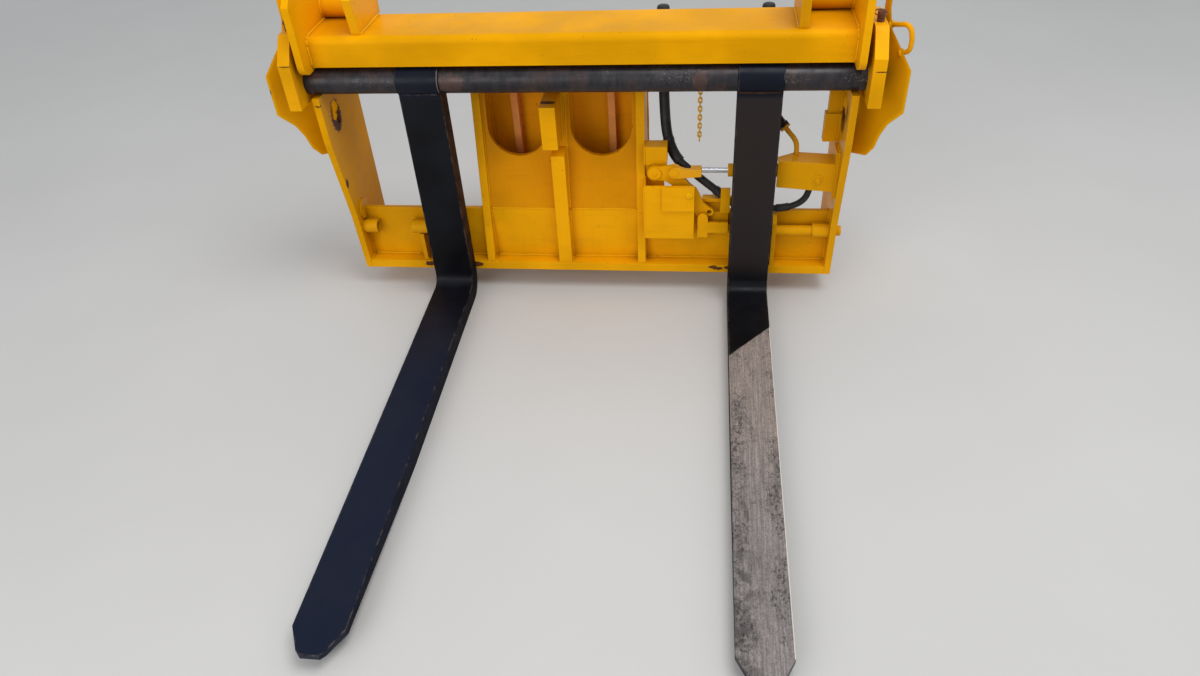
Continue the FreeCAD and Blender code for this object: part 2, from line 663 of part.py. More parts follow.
def make_lever():
    """The lock lever: a plate that turns on a pin behind the cover, with a round end at each eye."""
    y0, y1 = LEVER_FRONT, LEVER_FRONT + LEVER_THICK
    eyes = [
        (LEVER_DISC, LEVER_DISC_RADIUS),
        (LEVER_TOP, LEVER_TOP_RADIUS),
        (LEVER_RING, LEVER_RING_RADIUS),
        (LEVER_BOTTOM, LEVER_EYE),
    ]
    dx, dz = LEVER_DISC
    tx, tz = LEVER_TOP
    px, pz = LEVER_PIVOT
    rx, rz = LEVER_RING
    bx, bz = LEVER_BOTTOM
    web = prism("y", [
        (dx, dz + LEVER_DISC_RADIUS * 0.9),
        (tx, tz + LEVER_TOP_RADIUS * 0.9),
        (tx + LEVER_TOP_RADIUS * 0.8, tz - 4),
        (px + 32, pz + 32),
        (px + 49, pz + 18),
        (rx - 14, rz + 24),
        (rx + 4, rz + LEVER_RING_RADIUS * 0.8),
        (rx - 4, rz - LEVER_RING_RADIUS * 0.8),
        (bx + LEVER_EYE * 0.8, bz),
        (bx - LEVER_EYE * 0.9, bz + 6),
        (px + 26, pz - 28),
        (px - 4, pz - LEVER_HUB * 0.8),
        (px - 14, pz + 32),
        (px - 31, pz + 43),
        (dx + 4, dz - LEVER_DISC_RADIUS * 0.9),
    ], y0, y1)
    lever = fuse([web] + [bar("y", centre, radius, y0, y1) for centre, radius in eyes])
    lower_pin = bar("y", LEVER_BOTTOM, PIN_RADIUS, y0, y1 + 8)
    upper_pin = bar("y", LEVER_TOP, PIN_RADIUS, y0 - 13, y1)
    lever = fuse([lever, lower_pin, upper_pin])
    lever = lever.cut(bar("y", LEVER_PIVOT, LEVER_PIN_RADIUS + RUNNING_CLEARANCE, y0 - 1, y1 + 1))
    return lever.cut(bar("y", LEVER_RING, LEVER_RING_HOLE, y0 - 1, y1 + 1))


def make_lock_bar():
    """The lock bar; a tab in front of the lever and a slotted tongue behind it take the lever's pin."""
    back = LEVER_FRONT + LEVER_THICK
    bx, bz = LEVER_BOTTOM
    half = PIN_RADIUS + SLOT_SIDE
    rise = bz + SLOT_ABOVE
    round_bar = bar("x", (LOCK_Y, LOCK_Z), LOCK_RADIUS, LOCK_BAR_LEFT, LOCK_BAR_RIGHT)
    tongue = box(bx - half - 7, LOCK_BAR_LEFT + 26, back + 2, LOCK_Y + LOCK_RADIUS,
                 bz - SLOT_BELOW - 7, rise + 6)
    slot = box(bx - half, bx + half, back, LOCK_Y + LOCK_RADIUS + 1, bz - SLOT_BELOW, rise)
    tab = box(bx - TAB_WIDTH / 2, bx + TAB_WIDTH / 2, TAB_FRONT, TAB_BACK, LOCK_Z - LOCK_RADIUS, bz + 8)
    head = bar("y", (bx, bz + 8), TAB_WIDTH / 2, TAB_FRONT, TAB_BACK)
    strap = box(bx, LOCK_BAR_LEFT + 26, TAB_FRONT, TAB_BACK, STRAP_FOOT, STRAP_FOOT + STRAP_HEIGHT)
    return fuse([round_bar, tongue, tab, head, strap]).cut(slot)


def make_mount_plate():
    """The plate in front of the lever, welded to the right rib, with the lever's pivot pin."""
    x0 = HITCH_X + RIB_OFFSET + RIB_THICK / 2
    px, pz = LEVER_PIVOT
    low, high = pz - MOUNT_BELOW, pz + MOUNT_ABOVE
    plate = box(x0, px + MOUNT_REACH, MOUNT_FRONT, MOUNT_BACK, low, high)
    foot = box(x0, px - MOUNT_FOOT_BACK, MOUNT_BACK, WEB_FRONT, low, low + MOUNT_THICK)
    wall = box(x0, x0 + 4, MOUNT_BACK, rib_front(high), low, high)
    pin = bar("y", LEVER_PIVOT, LEVER_PIN_RADIUS, MOUNT_BACK, LEVER_FRONT + LEVER_THICK + 6)
    return fuse([plate, foot, wall.cut(make_lower()[1]), pin])


def make_cover():
    """The raised cover in the mount plate's upper corner, over the lever's pivot."""
    px, pz = LEVER_PIVOT
    return box(px - COVER_LEFT, px + MOUNT_REACH, MOUNT_FRONT - COVER_THICK, MOUNT_FRONT,
               pz - COVER_BELOW, pz + MOUNT_ABOVE)


def make_ram_rod():
    """The ram's rod and the flat eye at its end, in front of the lever."""
    x0, z = LEVER_TOP[0], RAM_Z
    front, back = LEVER_FRONT - 11, LEVER_FRONT - 1
    end, half, round_end = x0 + CLEVIS_LENGTH, CLEVIS_HALF, CLEVIS_RADIUS
    rod = bar("x", (RAM_Y, z), RAM_ROD_RADIUS, end - 10, RAM_FRONT + RAM_STROKE_ROOM - ROD_SHORT)
    flat = prism("y", [
        (x0, z - round_end),
        (x0, z + round_end),
        (x0 + round_end, z + round_end + 1),
        (x0 + 2 * round_end, z + half + 1),
        (end, z + half),
        (end, z - half),
        (x0 + round_end * 1.4, z - round_end + 1),
    ], front, back)
    eye = bar("y", LEVER_TOP, round_end, front, back)
    hole = bar("y", LEVER_TOP, PIN_RADIUS + ROD_EYE_CLEARANCE, front - 1, back + 1)
    neck = box(x0 + CLEVIS_NECK, end, front, RAM_Y + RAM_ROD_RADIUS, z - half, z + half)
    return fuse([rod, fuse([flat, eye]).cut(hole), neck])


def make_ram_cylinder():
    cylinder = bar("x", (RAM_Y, RAM_Z), RAM_RADIUS, RAM_FRONT, RAM_END)
    cylinder = cylinder.cut(bar("x", (RAM_Y, RAM_Z), RAM_ROD_RADIUS + RUNNING_CLEARANCE,
                                RAM_FRONT - 1, RAM_FRONT + RAM_STROKE_ROOM))
    eye = bar("y", (RAM_PIN_X, RAM_Z), RAM_RADIUS + 2, RAM_Y - 12, RAM_Y + 12)
    pin_hole = bar("y", (RAM_PIN_X, RAM_Z), RAM_PIN_RADIUS + RUNNING_CLEARANCE, RAM_Y - 13, RAM_Y + 13)
    port = swept([(RAM_PORT_X, RAM_Y, RAM_PORT_Z), (RAM_PORT_X, RAM_Y, RAM_Z - RAM_RADIUS + 3)],
                 RAM_PORT_RADIUS, 6)
    return fuse([cylinder, eye, port]).cut(pin_hole)


def make_ram_housing():
    """The tapered bracket on the right side plate that carries the ram's rear pin."""
    x0, x1 = HOUSING_LEFT, SIDE_INNER
    y0 = RAM_Y - RAM_RADIUS - HOUSING_ROOM
    y1 = RAM_Y + RAM_RADIUS + HOUSING_ROOM
    front_y, back_y = y0 - HOUSING_PLATE, y1 + HOUSING_PLATE
    root_foot, root_top = [RAM_Z + rise for rise in HOUSING_ROOT]
    tip_foot, tip_top = [RAM_Z + rise for rise in HOUSING_TIP]
    root = [(x1, root_top), (x1, root_foot)]
    front = prism("y", [(x0, tip_foot), (x0, tip_top)] + root, front_y, y0)
    corner = x0 + HOUSING_TAPER
    corner_top = along(tip_top, root_top, HOUSING_TAPER / (x1 - x0))
    back = prism("y", [(corner, tip_foot), (corner, corner_top)] + root, y1, back_y)
    top = prism("y", [
        (x0, tip_top),
        (x1, root_top),
        (x1, root_top - HOUSING_PLATE),
        (x0, tip_top - HOUSING_PLATE),
    ], front_y, back_y)
    plan = prism("z", [
        (x0, front_y),
        (x1, front_y),
        (x1, back_y),
        (corner, back_y),
        (x0, front_y + HOUSING_TIP_DEPTH),
    ], root_foot, tip_top + 1)
    flange = box(x1 - FLANGE_THICK, x1, front_y - 1, back_y, RAM_Z + FLANGE_SPAN[0], RAM_Z + FLANGE_SPAN[1])
    pin = bar("y", (RAM_PIN_X, RAM_Z), RAM_PIN_RADIUS, y0, y1)
    return fuse([front, back, top.common(plan), flange, pin])


def make_lock_bosses():
    """Round bosses for the lock bar on the right and for its missing twin on the left."""
    centre = (LOCK_Y, LOCK_Z)
    inner = LOCK_RADIUS + LOCK_BORE_CLEARANCE
    bosses = [tube("x", centre, LOCK_BOSS_RADIUS, inner, a, b) for a, b in LOCK_BOSS_SPANS]
    pad_z = LOCK_Z + LOCK_BOSS_RADIUS + LOCK_PAD_RADIUS + 1
    pad = bar("x", (LOCK_Y + 14, pad_z), LOCK_PAD_RADIUS, -SIDE_INNER, LOCK_PAD_THICK - SIDE_INNER)
    bosses.append(pad.cut(make_lower()[1]))
    return Part.makeCompound(bosses)


def make_web_ribs():
    """Small upright plates on the web: under the left boss, and beside the right pocket."""
    foot = LOWER_BOTTOM + BOTTOM_THICK
    start, end = LOCK_BOSS_SPANS[1]
    middle = (start + end) / 2
    front = LOCK_Y - LOCK_RADIUS + 1
    left = box(middle - 5, middle + 5, front, WEB_FRONT, foot, LOCK_Z - LOCK_BOSS_RADIUS)
    x0 = HOUSING_LEFT
    right = prism("x", [
        (FORK_THICK + 1, foot),
        (FORK_THICK + 1, WEB_TOP - 18),
        (FORK_THICK + 13, WEB_TOP),
        (WEB_FRONT, WEB_TOP),
        (WEB_FRONT, foot),
    ], x0, x0 + 10)
    right = right.cut(bar("x", (LOCK_Y, LOCK_Z), LOCK_RADIUS + 1.5, x0 - 1, x0 + 11))
    return Part.makeCompound([left, right])


def make_hose_block():
    """The bracket on top of the web: a foot, a shelf and an upright plate in front of its hoses."""
    x0, x1 = HOSE_BLOCK_X, HOSE_BLOCK_X + HOSE_BLOCK_WIDTH
    back = WEB_FRONT + WEB_THICK
    shelf_z = WEB_TOP + HOSE_BLOCK_SHELF
    foot = box(x0, x1 - 8, WEB_FRONT, back, WEB_TOP, shelf_z)
    shelf = box(x0, x1, LEVER_FRONT + LEVER_THICK + LEVER_GAP, back, shelf_z, shelf_z + 9)
    plate_back = HOSE_BLOCK_FRONT + HOSE_BLOCK_PLATE
    plate = box(x1 - 23, x1, HOSE_BLOCK_FRONT, plate_back, WEB_TOP + 10, WEB_TOP + HOSE_BLOCK_HEIGHT)
    bridge = box(x1 - 23, x1, plate_back, back, shelf_z - 10, shelf_z + 9)
    ram_hose_end = RAM_HOSE_ROUTE[-1]
    nuts = [
        hose_nut(LOCK_HOSE_ROUTE[-1], LOCK_HOSE_ROUTE[-2]),
        hose_nut((x1, *ram_hose_end[1:]), ram_hose_end),
    ]
    return fuse([foot, shelf, plate, bridge] + nuts)


def make_anchor_block():
    x0 = HITCH_X + RIB_OFFSET + RIB_THICK / 2
    return box(x0, x0 + ANCHOR_WIDTH, ANCHOR_FRONT, ANCHOR_FRONT + ANCHOR_DEPTH, *ANCHOR_SPAN)


def rounded(points, step):
    """The route with a tangent arc at each corner, as large as its runs allow, in short chords."""
    p = [V(*point) for point in points]
    path = [p[0]]
    for a, b, c in zip(p, p[1:], p[2:]):
        before, after = b - a, c - b
        turn = before.getAngle(after)
        reach = 0.45 * min(before.Length, after.Length)
        bend = reach / math.tan(turn / 2)
        before.normalize()
        after.normalize()
        axis = before.cross(after).normalize()
        start = b - before * reach
        centre = start + axis.cross(before) * bend
        chords = math.ceil(math.degrees(turn) / step)
        for i in range(chords + 1):
            spin = FreeCAD.Rotation(axis, math.degrees(turn) * i / chords)
            path.append(centre + spin.multVec(start - centre))
        print("bend radius %.0f mm" % bend)
    return path + [p[-1]]


def swept(points, radius, sides=HOSE_SIDES, step=HOSE_STEP):
    """A hose or rod of even section along a route; its corners are mitred chord by chord."""
    path = rounded(points, step)
    ways = [(b - a).normalize() for a, b in zip(path, path[1:])]
    side = ways[0].cross(V(0, 0, 1) if abs(ways[0].z) < 0.9 else V(1, 0, 0)).normalize()
    other = ways[0].cross(side)
    ring = []
    for i in range(sides):
        turn = math.tau * i / sides
        ring.append(path[0] + side * radius * math.cos(turn) + other * radius * math.sin(turn))
    first = Part.Face(Part.makePolygon(ring + ring[:1]))
    faces = [first]
    for i, way in enumerate(ways):
        normal = way + ways[i + 1] if i + 1 < len(ways) else way
        end = path[i + 1]
        onward = [q + way * ((end - q).dot(normal) / way.dot(normal)) for q in ring]
        for k in range(sides):
            m = (k + 1) % sides
            faces.append(Part.Face(Part.makePolygon([ring[k], ring[m], onward[m], onward[k], ring[k]])))
        ring = onward
    faces.append(Part.Face(Part.makePolygon(ring + ring[:1])))
    whole = Part.makeSolid(Part.makeShell(faces))
    if whole.Volume < 0:
        whole.reverse()
    length = sum((b - a).Length for a, b in zip(path, path[1:]))
    print("length %.0f mm, volume ratio %.4f, valid %s" % (
        length, whole.Volume / (first.Area * length), whole.isValid()))
    return whole


def hose_nut(end, before, size=HOSE_NUT_LENGTH):
    """A hose's hexagon nut: its last stretch before it meets what it screws into."""
    end, before = V(*end), V(*before)
    way = (end - before).normalize()
    return swept([tuple(end - way * size), tuple(end)], HOSE_NUT_RADIUS, 6)


def make_couplers():
    """The hoses' end couplers, each in a holder on the back of the top beam."""
    couplers = []
    for x in COUPLER_X:
        holder = box(x - HOLDER_HALF, x + HOLDER_HALF, BEAM_BACK, COUPLER_Y + HOLDER_LAP,
                     COUPLER_Z + HOLDER_SPAN[0], COUPLER_Z + HOLDER_SPAN[1])
        body = swept([(x, COUPLER_Y, COUPLER_Z), (x, COUPLER_Y, COUPLER_Z + COUPLER_LENGTH)],
                     COUPLER_RADIUS)
        couplers.append(fuse([holder, body]))
    return Part.makeCompound(couplers)


def make_chain():
    """Six-sided links, every second one turned, hung from a tab on the beam's rear wall."""
    half_in, half_out = CHAIN_PITCH / 2, CHAIN_PITCH / 2 + CHAIN_WIRE
    wide_in, wide_out = CHAIN_GAP / 2, CHAIN_GAP / 2 + CHAIN_WIRE
    links = []
    y, top = BEAM_BACK - BEAM_WALL / 2, BEAM_BACK_BOTTOM - CHAIN_TAB

    def outline(wide, tall, x, z):
        cut = wide * 0.6
        return [
            (x - wide, z - tall + cut), (x - wide, z + tall - cut), (x, z + tall),
            (x + wide, z + tall - cut), (x + wide, z - tall + cut), (x, z - tall),
        ]

    for i in range(CHAIN_LINKS):
        z = top - i * (CHAIN_PITCH - CHAIN_SLACK)
        axis, across, middle = ("x", y, CHAIN_X) if i % 2 == 0 else ("y", CHAIN_X, y)
        start, end = middle - CHAIN_WIRE / 2, middle + CHAIN_WIRE / 2
        outer = prism(axis, outline(wide_out, half_out, across, z), start, end)
        inner = prism(axis, outline(wide_in, half_in, across, z), start - 1, end + 1)
        links.append(outer.cut(inner))
    strip = top + half_in - CHAIN_SLACK
    tab = box(CHAIN_X - 7, CHAIN_X + 7, y - CHAIN_WIRE / 2, y + CHAIN_WIRE / 2, strip - CHAIN_WIRE,
              beam_edge(y + CHAIN_WIRE / 2))
    hole = box(CHAIN_X - wide_in, CHAIN_X + wide_in, y - CHAIN_WIRE, y + CHAIN_WIRE, strip,
               strip + CHAIN_WIRE + 2 * CHAIN_SLACK)
    return Part.makeCompound([tab.cut(hole)] + links)


def make_side_bracket():
    """The stepped bracket on the inner face of the right side plate, above the ram housing."""
    foot, step, head = [RAM_Z + rise for rise in BRACKET_RISES]
    front, back = BRACKET_Y
    lower = box(SIDE_INNER - BRACKET_WIDTH, SIDE_INNER, front, back, foot, step)
    upper = box(SIDE_INNER - BRACKET_WIDTH + 6, SIDE_INNER, front + 6, back, step, head)
    return fuse([lower, upper])


def make_elbow():
    """The pipe and nut that carry the ram's return hose on top of the housing."""
    nut = hose_nut(ELBOW_ROUTE[-1], ELBOW_ROUTE[-2], 16)
    return fuse([swept(ELBOW_ROUTE, ELBOW_RADIUS, 8, ROD_STEP), nut])


def make_grab_handle():
    """The bent rod welded to the right guide's upper edge."""
    return swept(HANDLE_ROUTE, HANDLE_RADIUS, 8, ROD_STEP).cut(make_guide())


def main():
    os.makedirs("parts", exist_ok=True)
    for name, side in SIDES.items():
        fork = make_fork()
        fork.translate(V(FORK_CENTRE[name], 0, 0))
        save("fork_" + name, fork)
        save("side_plate_" + name, on_side(make_side_plate(), side))
        save("ear_" + name, on_side(make_ear(), side))
        save("guide_" + name, on_side(make_guide(), side))
        save("upright_" + name, on_side(make_upright(), side))
        stub = bar("x", (STUB_Y, BEAM_TOP + STUB_RADIUS), STUB_RADIUS,
                   UPRIGHT_INNER + UPRIGHT_THICK, SIDE_INNER)
        save("stub_tube_" + name, on_side(stub, side))
        save("pivot_cheek_" + name, make_cheek(side))
        save("rib_" + name, make_outer_rib(HITCH_X + side * RIB_OFFSET))
        pin = bar("z", (EAR_INNER + EAR_THICK / 2, SHAFT_Y), KEEPER_PIN_RADIUS,
                  SHAFT_HEIGHT + SHAFT_RADIUS, EAR_TOP + KEEPER_PIN_STAND)
        save("keeper_pin_" + name, on_side(pin, side))
    reach = EAR_INNER + EAR_THICK + SHAFT_OVERHANG
    save("fork_shaft", bar("x", (SHAFT_Y, SHAFT_HEIGHT), SHAFT_RADIUS, -reach, reach))
    save("shaft_sleeves", make_sleeves())
    save("top_beam", make_top_beam())
    bottom, web = make_lower()
    save("bottom_plate", bottom)
    save("web", web)
    save("rib_centre", make_centre_rib())
    save("stop_block", make_stop_block())
    save("saddle", make_saddle())
    save("rear_plate", make_rear_plate())
    save("stiffeners", make_stiffeners())
    save("lock_bosses", make_lock_bosses())
    save("web_ribs", make_web_ribs())
    save("lock_lever", make_lever())
    save("lock_bar", make_lock_bar())
    save("lever_mount", make_mount_plate())
    save("lever_cover", make_cover())
    save("ram_rod", make_ram_rod())
    save("ram_cylinder", make_ram_cylinder())
    housing, block, couplers = make_ram_housing(), make_hose_block(), make_couplers()
    save("ram_housing", housing)
    save("hose_block", block)
    save("anchor_block", make_anchor_block())
    save("side_bracket", make_side_bracket())
    save("couplers", couplers)
    save("ram_elbow", make_elbow().cut(housing))
    save("hose_lock", swept(LOCK_HOSE_ROUTE, LOCK_HOSE_RADIUS).cut(couplers).cut(block))
    save("hose_ram", swept(RAM_HOSE_ROUTE, RAM_HOSE_RADIUS).cut(block))
    save("hose_return", swept(RETURN_HOSE_ROUTE, RETURN_HOSE_RADIUS).cut(couplers))
    save("chain", make_chain())
    save("grab_handle", make_grab_handle())


main()
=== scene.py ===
import json
import math
import random

import bmesh
import bpy
from mathutils import Matrix, Vector


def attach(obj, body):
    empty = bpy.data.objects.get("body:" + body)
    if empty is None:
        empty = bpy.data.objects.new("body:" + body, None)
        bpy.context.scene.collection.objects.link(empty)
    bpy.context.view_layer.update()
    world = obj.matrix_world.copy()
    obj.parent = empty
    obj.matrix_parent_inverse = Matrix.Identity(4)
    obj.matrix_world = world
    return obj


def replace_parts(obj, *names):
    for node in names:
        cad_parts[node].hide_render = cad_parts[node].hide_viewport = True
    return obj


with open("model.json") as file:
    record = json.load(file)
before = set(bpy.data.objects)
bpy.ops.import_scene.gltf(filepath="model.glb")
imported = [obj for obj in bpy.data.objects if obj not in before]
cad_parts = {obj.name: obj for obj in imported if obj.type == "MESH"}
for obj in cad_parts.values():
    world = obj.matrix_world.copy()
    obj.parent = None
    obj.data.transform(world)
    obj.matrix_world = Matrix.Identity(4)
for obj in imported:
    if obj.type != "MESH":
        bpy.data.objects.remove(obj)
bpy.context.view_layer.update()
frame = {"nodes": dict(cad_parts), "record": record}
random.seed(7)

# Camera at the photograph's viewpoint; places in metres
CAMERA_AT = (0.282, -1.483, 1.372)
VIEW_RIGHT = (0.993535, 0.101505, -0.050841)
VIEW_UP = (-0.024977, 0.632308, 0.774315)
VIEW_BACK = (0.110743, -0.768039, 0.630755)
cam_data = bpy.data.cameras.new("camera")
cam_data.sensor_fit = "HORIZONTAL"
cam_data.sensor_width = 36.0
cam_data.lens = 25.76
cam_data.clip_start = 0.05
cam_data.clip_end = 50.0
camera = bpy.data.objects.new("camera", cam_data)
bpy.context.scene.collection.objects.link(camera)
turn = Matrix((VIEW_RIGHT, VIEW_UP, VIEW_BACK)).transposed().to_4x4()
camera.matrix_world = Matrix.Translation(CAMERA_AT) @ turn
bpy.context.scene.camera = camera
bpy.context.scene.view_settings.view_transform = "Standard"

# Sizes that follow the part's source, millimetres in its drawing frame
SHIFT_Y = 354.0
SIDES = {"left": -1, "right": 1}
SIDE_INNER, SIDE_THICK = 608.0, 16.0
EAR_INNER, EAR_OUTER, EAR_TOP = 636.0, 664.0, 722.0
SHAFT_Y, SHAFT_Z = 22.5, 603.0
FORK_X = {"left": -0.602 * SIDE_INNER, "right": 0.676 * SIDE_INNER}
BEAM_TOP, BEAM_BACK = 710.0, 170.0
PLATE_TOP = 84.0
WEB_FRONT, WEB_BACK, WEB_TOP = 82.0, 94.0, 228.0
RIB_X = {"left": (-281.0, -261.0), "centre": (-85.0, -51.0), "right": (125.0, 145.0)}
RIB_TOP, SADDLE_FRONT = 600.0, 152.0
HITCH_X, CHEEK_OFFSET = -68.0, 124.0
STOP_X = (HITCH_X - 31.0, HITCH_X + 7.0)
KEEPER_X, KEEPER_Z = 650.0, 737.0
STUB_Y, STUB_Z = 144.0, 735.0
DISC_WELD, LEVER_PIVOT, ROD_PIN = (171.6, 344.0), (227.0, 281.0), (220.0, 350.0)
COUPLER_X, COUPLER_Y, COUPLER_TOP = (188, 430), 197, 697


def at(x, y, z):
    """A place of the drawing as a place of the scene, in metres."""
    return Vector((x / 1000, (y + SHIFT_Y) / 1000, z / 1000))


def shade(color, factor):
    return tuple(min(1.0, channel * factor) for channel in color)


# Colours, as linear red, green and blue
YELLOW_BASE = (0.80, 0.355, 0.0015)
YELLOW_EDGE_HIGHLIGHT = (0.92, 0.50, 0.006)
YELLOW_CORNER_DIRT_AND_SHADE = (0.20, 0.075, 0.004)
YELLOW_TINT = (1.0, 0.80, 0.35)
# The saddle's yellow is darkened as painted shade, the shade of the top beam above it
SADDLE_SHADED_YELLOW = (0.64, 0.245, 0.001)
REAR_YELLOW = (0.86, 0.34, 0.004)
WIRE_YELLOW = (0.95, 0.56, 0.02)
PRIMER_DEEP, PRIMER_PALE = (0.70, 0.26, 0.07), (0.86, 0.36, 0.09)
RUST_DEEP, RUST_PALE = (0.045, 0.016, 0.009), (0.13, 0.045, 0.02)
RUST_SPECK = (0.10, 0.035, 0.01)
PIN_RUST_DEEP, PIN_RUST_PALE = (0.055, 0.022, 0.012), (0.24, 0.095, 0.04)
# The left fork's blue-black blade colour is a painted reflection of the sky
LEFT_FORK_SKY_SHEEN = {"blade": (0.0060, 0.0095, 0.0240), "heel": (0.0025, 0.0022, 0.0036),
             "shank": (0.0020, 0.0020, 0.0028)}
RIGHT_FORK = {"blade": (0.0040, 0.0038, 0.0045), "heel": (0.0032, 0.0030, 0.0036),
              "shank": (0.0230, 0.0170, 0.0152)}
FORK_EYE_SKY_SHEEN = (0.0045, 0.0058, 0.0125)
FORK_PATCH = (0.014, 0.017, 0.026)
FORK_SCRATCH = (0.05, 0.05, 0.056)
FORK_RUB = (0.15, 0.12, 0.10)
FORK_FLANK_SHADE = (0.002, 0.002, 0.003)
SHANK_BROWN = (0.085, 0.036, 0.016)
EYE_RING = (0.42, 0.38, 0.34)
# The worn blade top's greys are lightened as painted sunlight on worn steel
SUNLIT_WORN_WARM = ((0.225, 0.188, 0.168), (0.385, 0.322, 0.287))
SUNLIT_WORN_COOL = ((0.180, 0.160, 0.155), (0.320, 0.288, 0.276))
WORN_LINE = (0.085, 0.070, 0.062)
WORN_SHINE = (0.46, 0.40, 0.36)
WORN_BLOTCH = (0.055, 0.048, 0.045)
WORN_SPREAD = (0.10, 0.088, 0.085)
WORN_PIT = (0.030, 0.027, 0.028)
SUNLIT_RIM_HIGHLIGHT = (0.80, 0.73, 0.64)
SHAFT_DEEP, SHAFT_PALE = (0.010, 0.010, 0.014), (0.030, 0.025, 0.027)
SHAFT_RUST, SHAFT_PATCH = (0.085, 0.040, 0.025), (0.12, 0.055, 0.035)
SHAFT_RUBBED, SHAFT_SCRIBBLE = (0.16, 0.14, 0.13), (0.36, 0.33, 0.31)
CHROME, ZINC, STEEL_DIRT = (0.62, 0.63, 0.65), (0.42, 0.41, 0.38), (0.12, 0.10, 0.08)
RUBBER_BLACK, RUBBER_DUST = (0.010, 0.010, 0.011), (0.045, 0.042, 0.038)
COLLAR_BLACK = (0.012, 0.012, 0.013)
FLOOR_DEEP, FLOOR_PALE = (0.52, 0.51, 0.49), (0.60, 0.59, 0.57)


class Look:
    """One procedural material; nearly every method returns an output socket."""

    def __init__(self, name):
        self.material = bpy.data.materials.new(name)
        self.material.use_nodes = True
        self.tree = self.material.node_tree
        self.surface = self.tree.nodes["Principled BSDF"]
        self.place = self.tree.nodes.new("ShaderNodeTexCoord").outputs["Object"]

    def link(self, source, target):
        self.tree.links.new(source, target)

    def feed(self, target, value):
        if isinstance(value, bpy.types.NodeSocket):
            self.link(value, target)
        else:
            target.default_value = value

    def noise(self, scale, detail=4.0, rough=0.55, stretch=None, twist=0.0):
        """Noise with scale features to a metre, denser along an axis whose stretch is above 1."""
        node = self.tree.nodes.new("ShaderNodeTexNoise")
        node.inputs["Scale"].default_value = scale
        node.inputs["Detail"].default_value = detail
        node.inputs["Roughness"].default_value = rough
        node.inputs["Distortion"].default_value = twist
        place = self.place
        if stretch is not None:
            mapping = self.tree.nodes.new("ShaderNodeMapping")
            mapping.inputs["Scale"].default_value = stretch
            self.link(place, mapping.inputs["Vector"])
            place = mapping.outputs["Vector"]
        self.link(place, node.inputs["Vector"])
        return node.outputs["Fac"]

    def cells(self, scale):
        node = self.tree.nodes.new("ShaderNodeTexVoronoi")
        node.inputs["Scale"].default_value = scale
        self.link(self.place, node.inputs["Vector"])
        return node.outputs["Distance"]

    def range(self, value, low, high, to_low=0.0, to_high=1.0):
        """A smooth step from to_low at low to to_high at high."""
        node = self.tree.nodes.new("ShaderNodeMapRange")
        node.interpolation_type = "SMOOTHSTEP"
        self.link(value, node.inputs["Value"])
        for key, number in (("From Min", low), ("From Max", high), ("To Min", to_low), ("To Max", to_high)):
            node.inputs[key].default_value = number
        return node.outputs["Result"]

    def math(self, what, a, b=0.0):
        node = self.tree.nodes.new("ShaderNodeMath")
        node.operation = what
        self.feed(node.inputs[0], a)
        self.feed(node.inputs[1], b)
        return node.outputs["Value"]

    def times(self, a, b):
        return self.math("MULTIPLY", a, b)

    def plus(self, a, b):
        return self.math("ADD", a, b)

    def minus(self, a, b):
        return self.math("SUBTRACT", a, b)

    def larger(self, a, b):
        return self.math("MAXIMUM", a, b)

    def mix(self, share, a, b):
        node = self.tree.nodes.new("ShaderNodeMix")
        node.data_type = "RGBA"
        self.feed(node.inputs[0], share)
        for target, value in ((node.inputs[6], a), (node.inputs[7], b)):
            self.feed(target, value if isinstance(value, bpy.types.NodeSocket) else (*value, 1.0))
        return node.outputs[2]

    def cover(self, color, other, mask, share=1.0):
        """The colour with another laid over it where the mask is 1, as strong as the share."""
        return self.mix(mask if share == 1.0 else self.times(mask, share), color, other)

    def axis(self, name):
        node = self.tree.nodes.new("ShaderNodeSeparateXYZ")
        self.link(self.place, node.inputs[0])
        return node.outputs[name]

    def rounded(self, radius):
        node = self.tree.nodes.new("ShaderNodeBevel")
        node.samples = 4
        node.inputs["Radius"].default_value = radius
        return node.outputs["Normal"]

    def edges(self, radius):
        """1 on a sharp edge, 0 on a flat face."""
        true = self.tree.nodes.new("ShaderNodeNewGeometry").outputs["True Normal"]
        node = self.tree.nodes.new("ShaderNodeVectorMath")
        node.operation = "DOT_PRODUCT"
        self.link(self.rounded(radius), node.inputs[0])
        self.link(true, node.inputs[1])
        return self.range(node.outputs["Value"], 0.99, 0.80)

    def near(self, x, y, z, half_x, half_y, half_z, ragged=0.9):
        """1 inside a ragged blob about a place of the drawing, in millimetres."""
        node = self.tree.nodes.new("ShaderNodeMapping")
        node.vector_type = "TEXTURE"
        node.inputs["Location"].default_value = at(x, y, z)
        node.inputs["Scale"].default_value = (half_x / 1000, half_y / 1000, half_z / 1000)
        self.link(self.place, node.inputs["Vector"])
        far = self.tree.nodes.new("ShaderNodeVectorMath")
        far.operation = "LENGTH"
        self.link(node.outputs["Vector"], far.inputs[0])
        uneven = self.times(self.minus(self.noise(150.0, 6.0, 0.7), 0.5), ragged)
        return self.range(self.plus(far.outputs["Value"], uneven), 1.0, 0.88)

    def corners(self, distance):
        """1 in a tight corner, 0 in the open."""
        node = self.tree.nodes.new("ShaderNodeAmbientOcclusion")
        node.samples = 6
        node.inputs["Distance"].default_value = distance
        return self.range(node.outputs["AO"], 0.75, 0.25)

    def bump(self, height, strength, distance, normal=None):
        node = self.tree.nodes.new("ShaderNodeBump")
        node.inputs["Strength"].default_value = strength
        node.inputs["Distance"].default_value = distance
        self.link(height, node.inputs["Height"])
        if normal is not None:
            self.link(normal, node.inputs["Normal"])
        return node.outputs["Normal"]

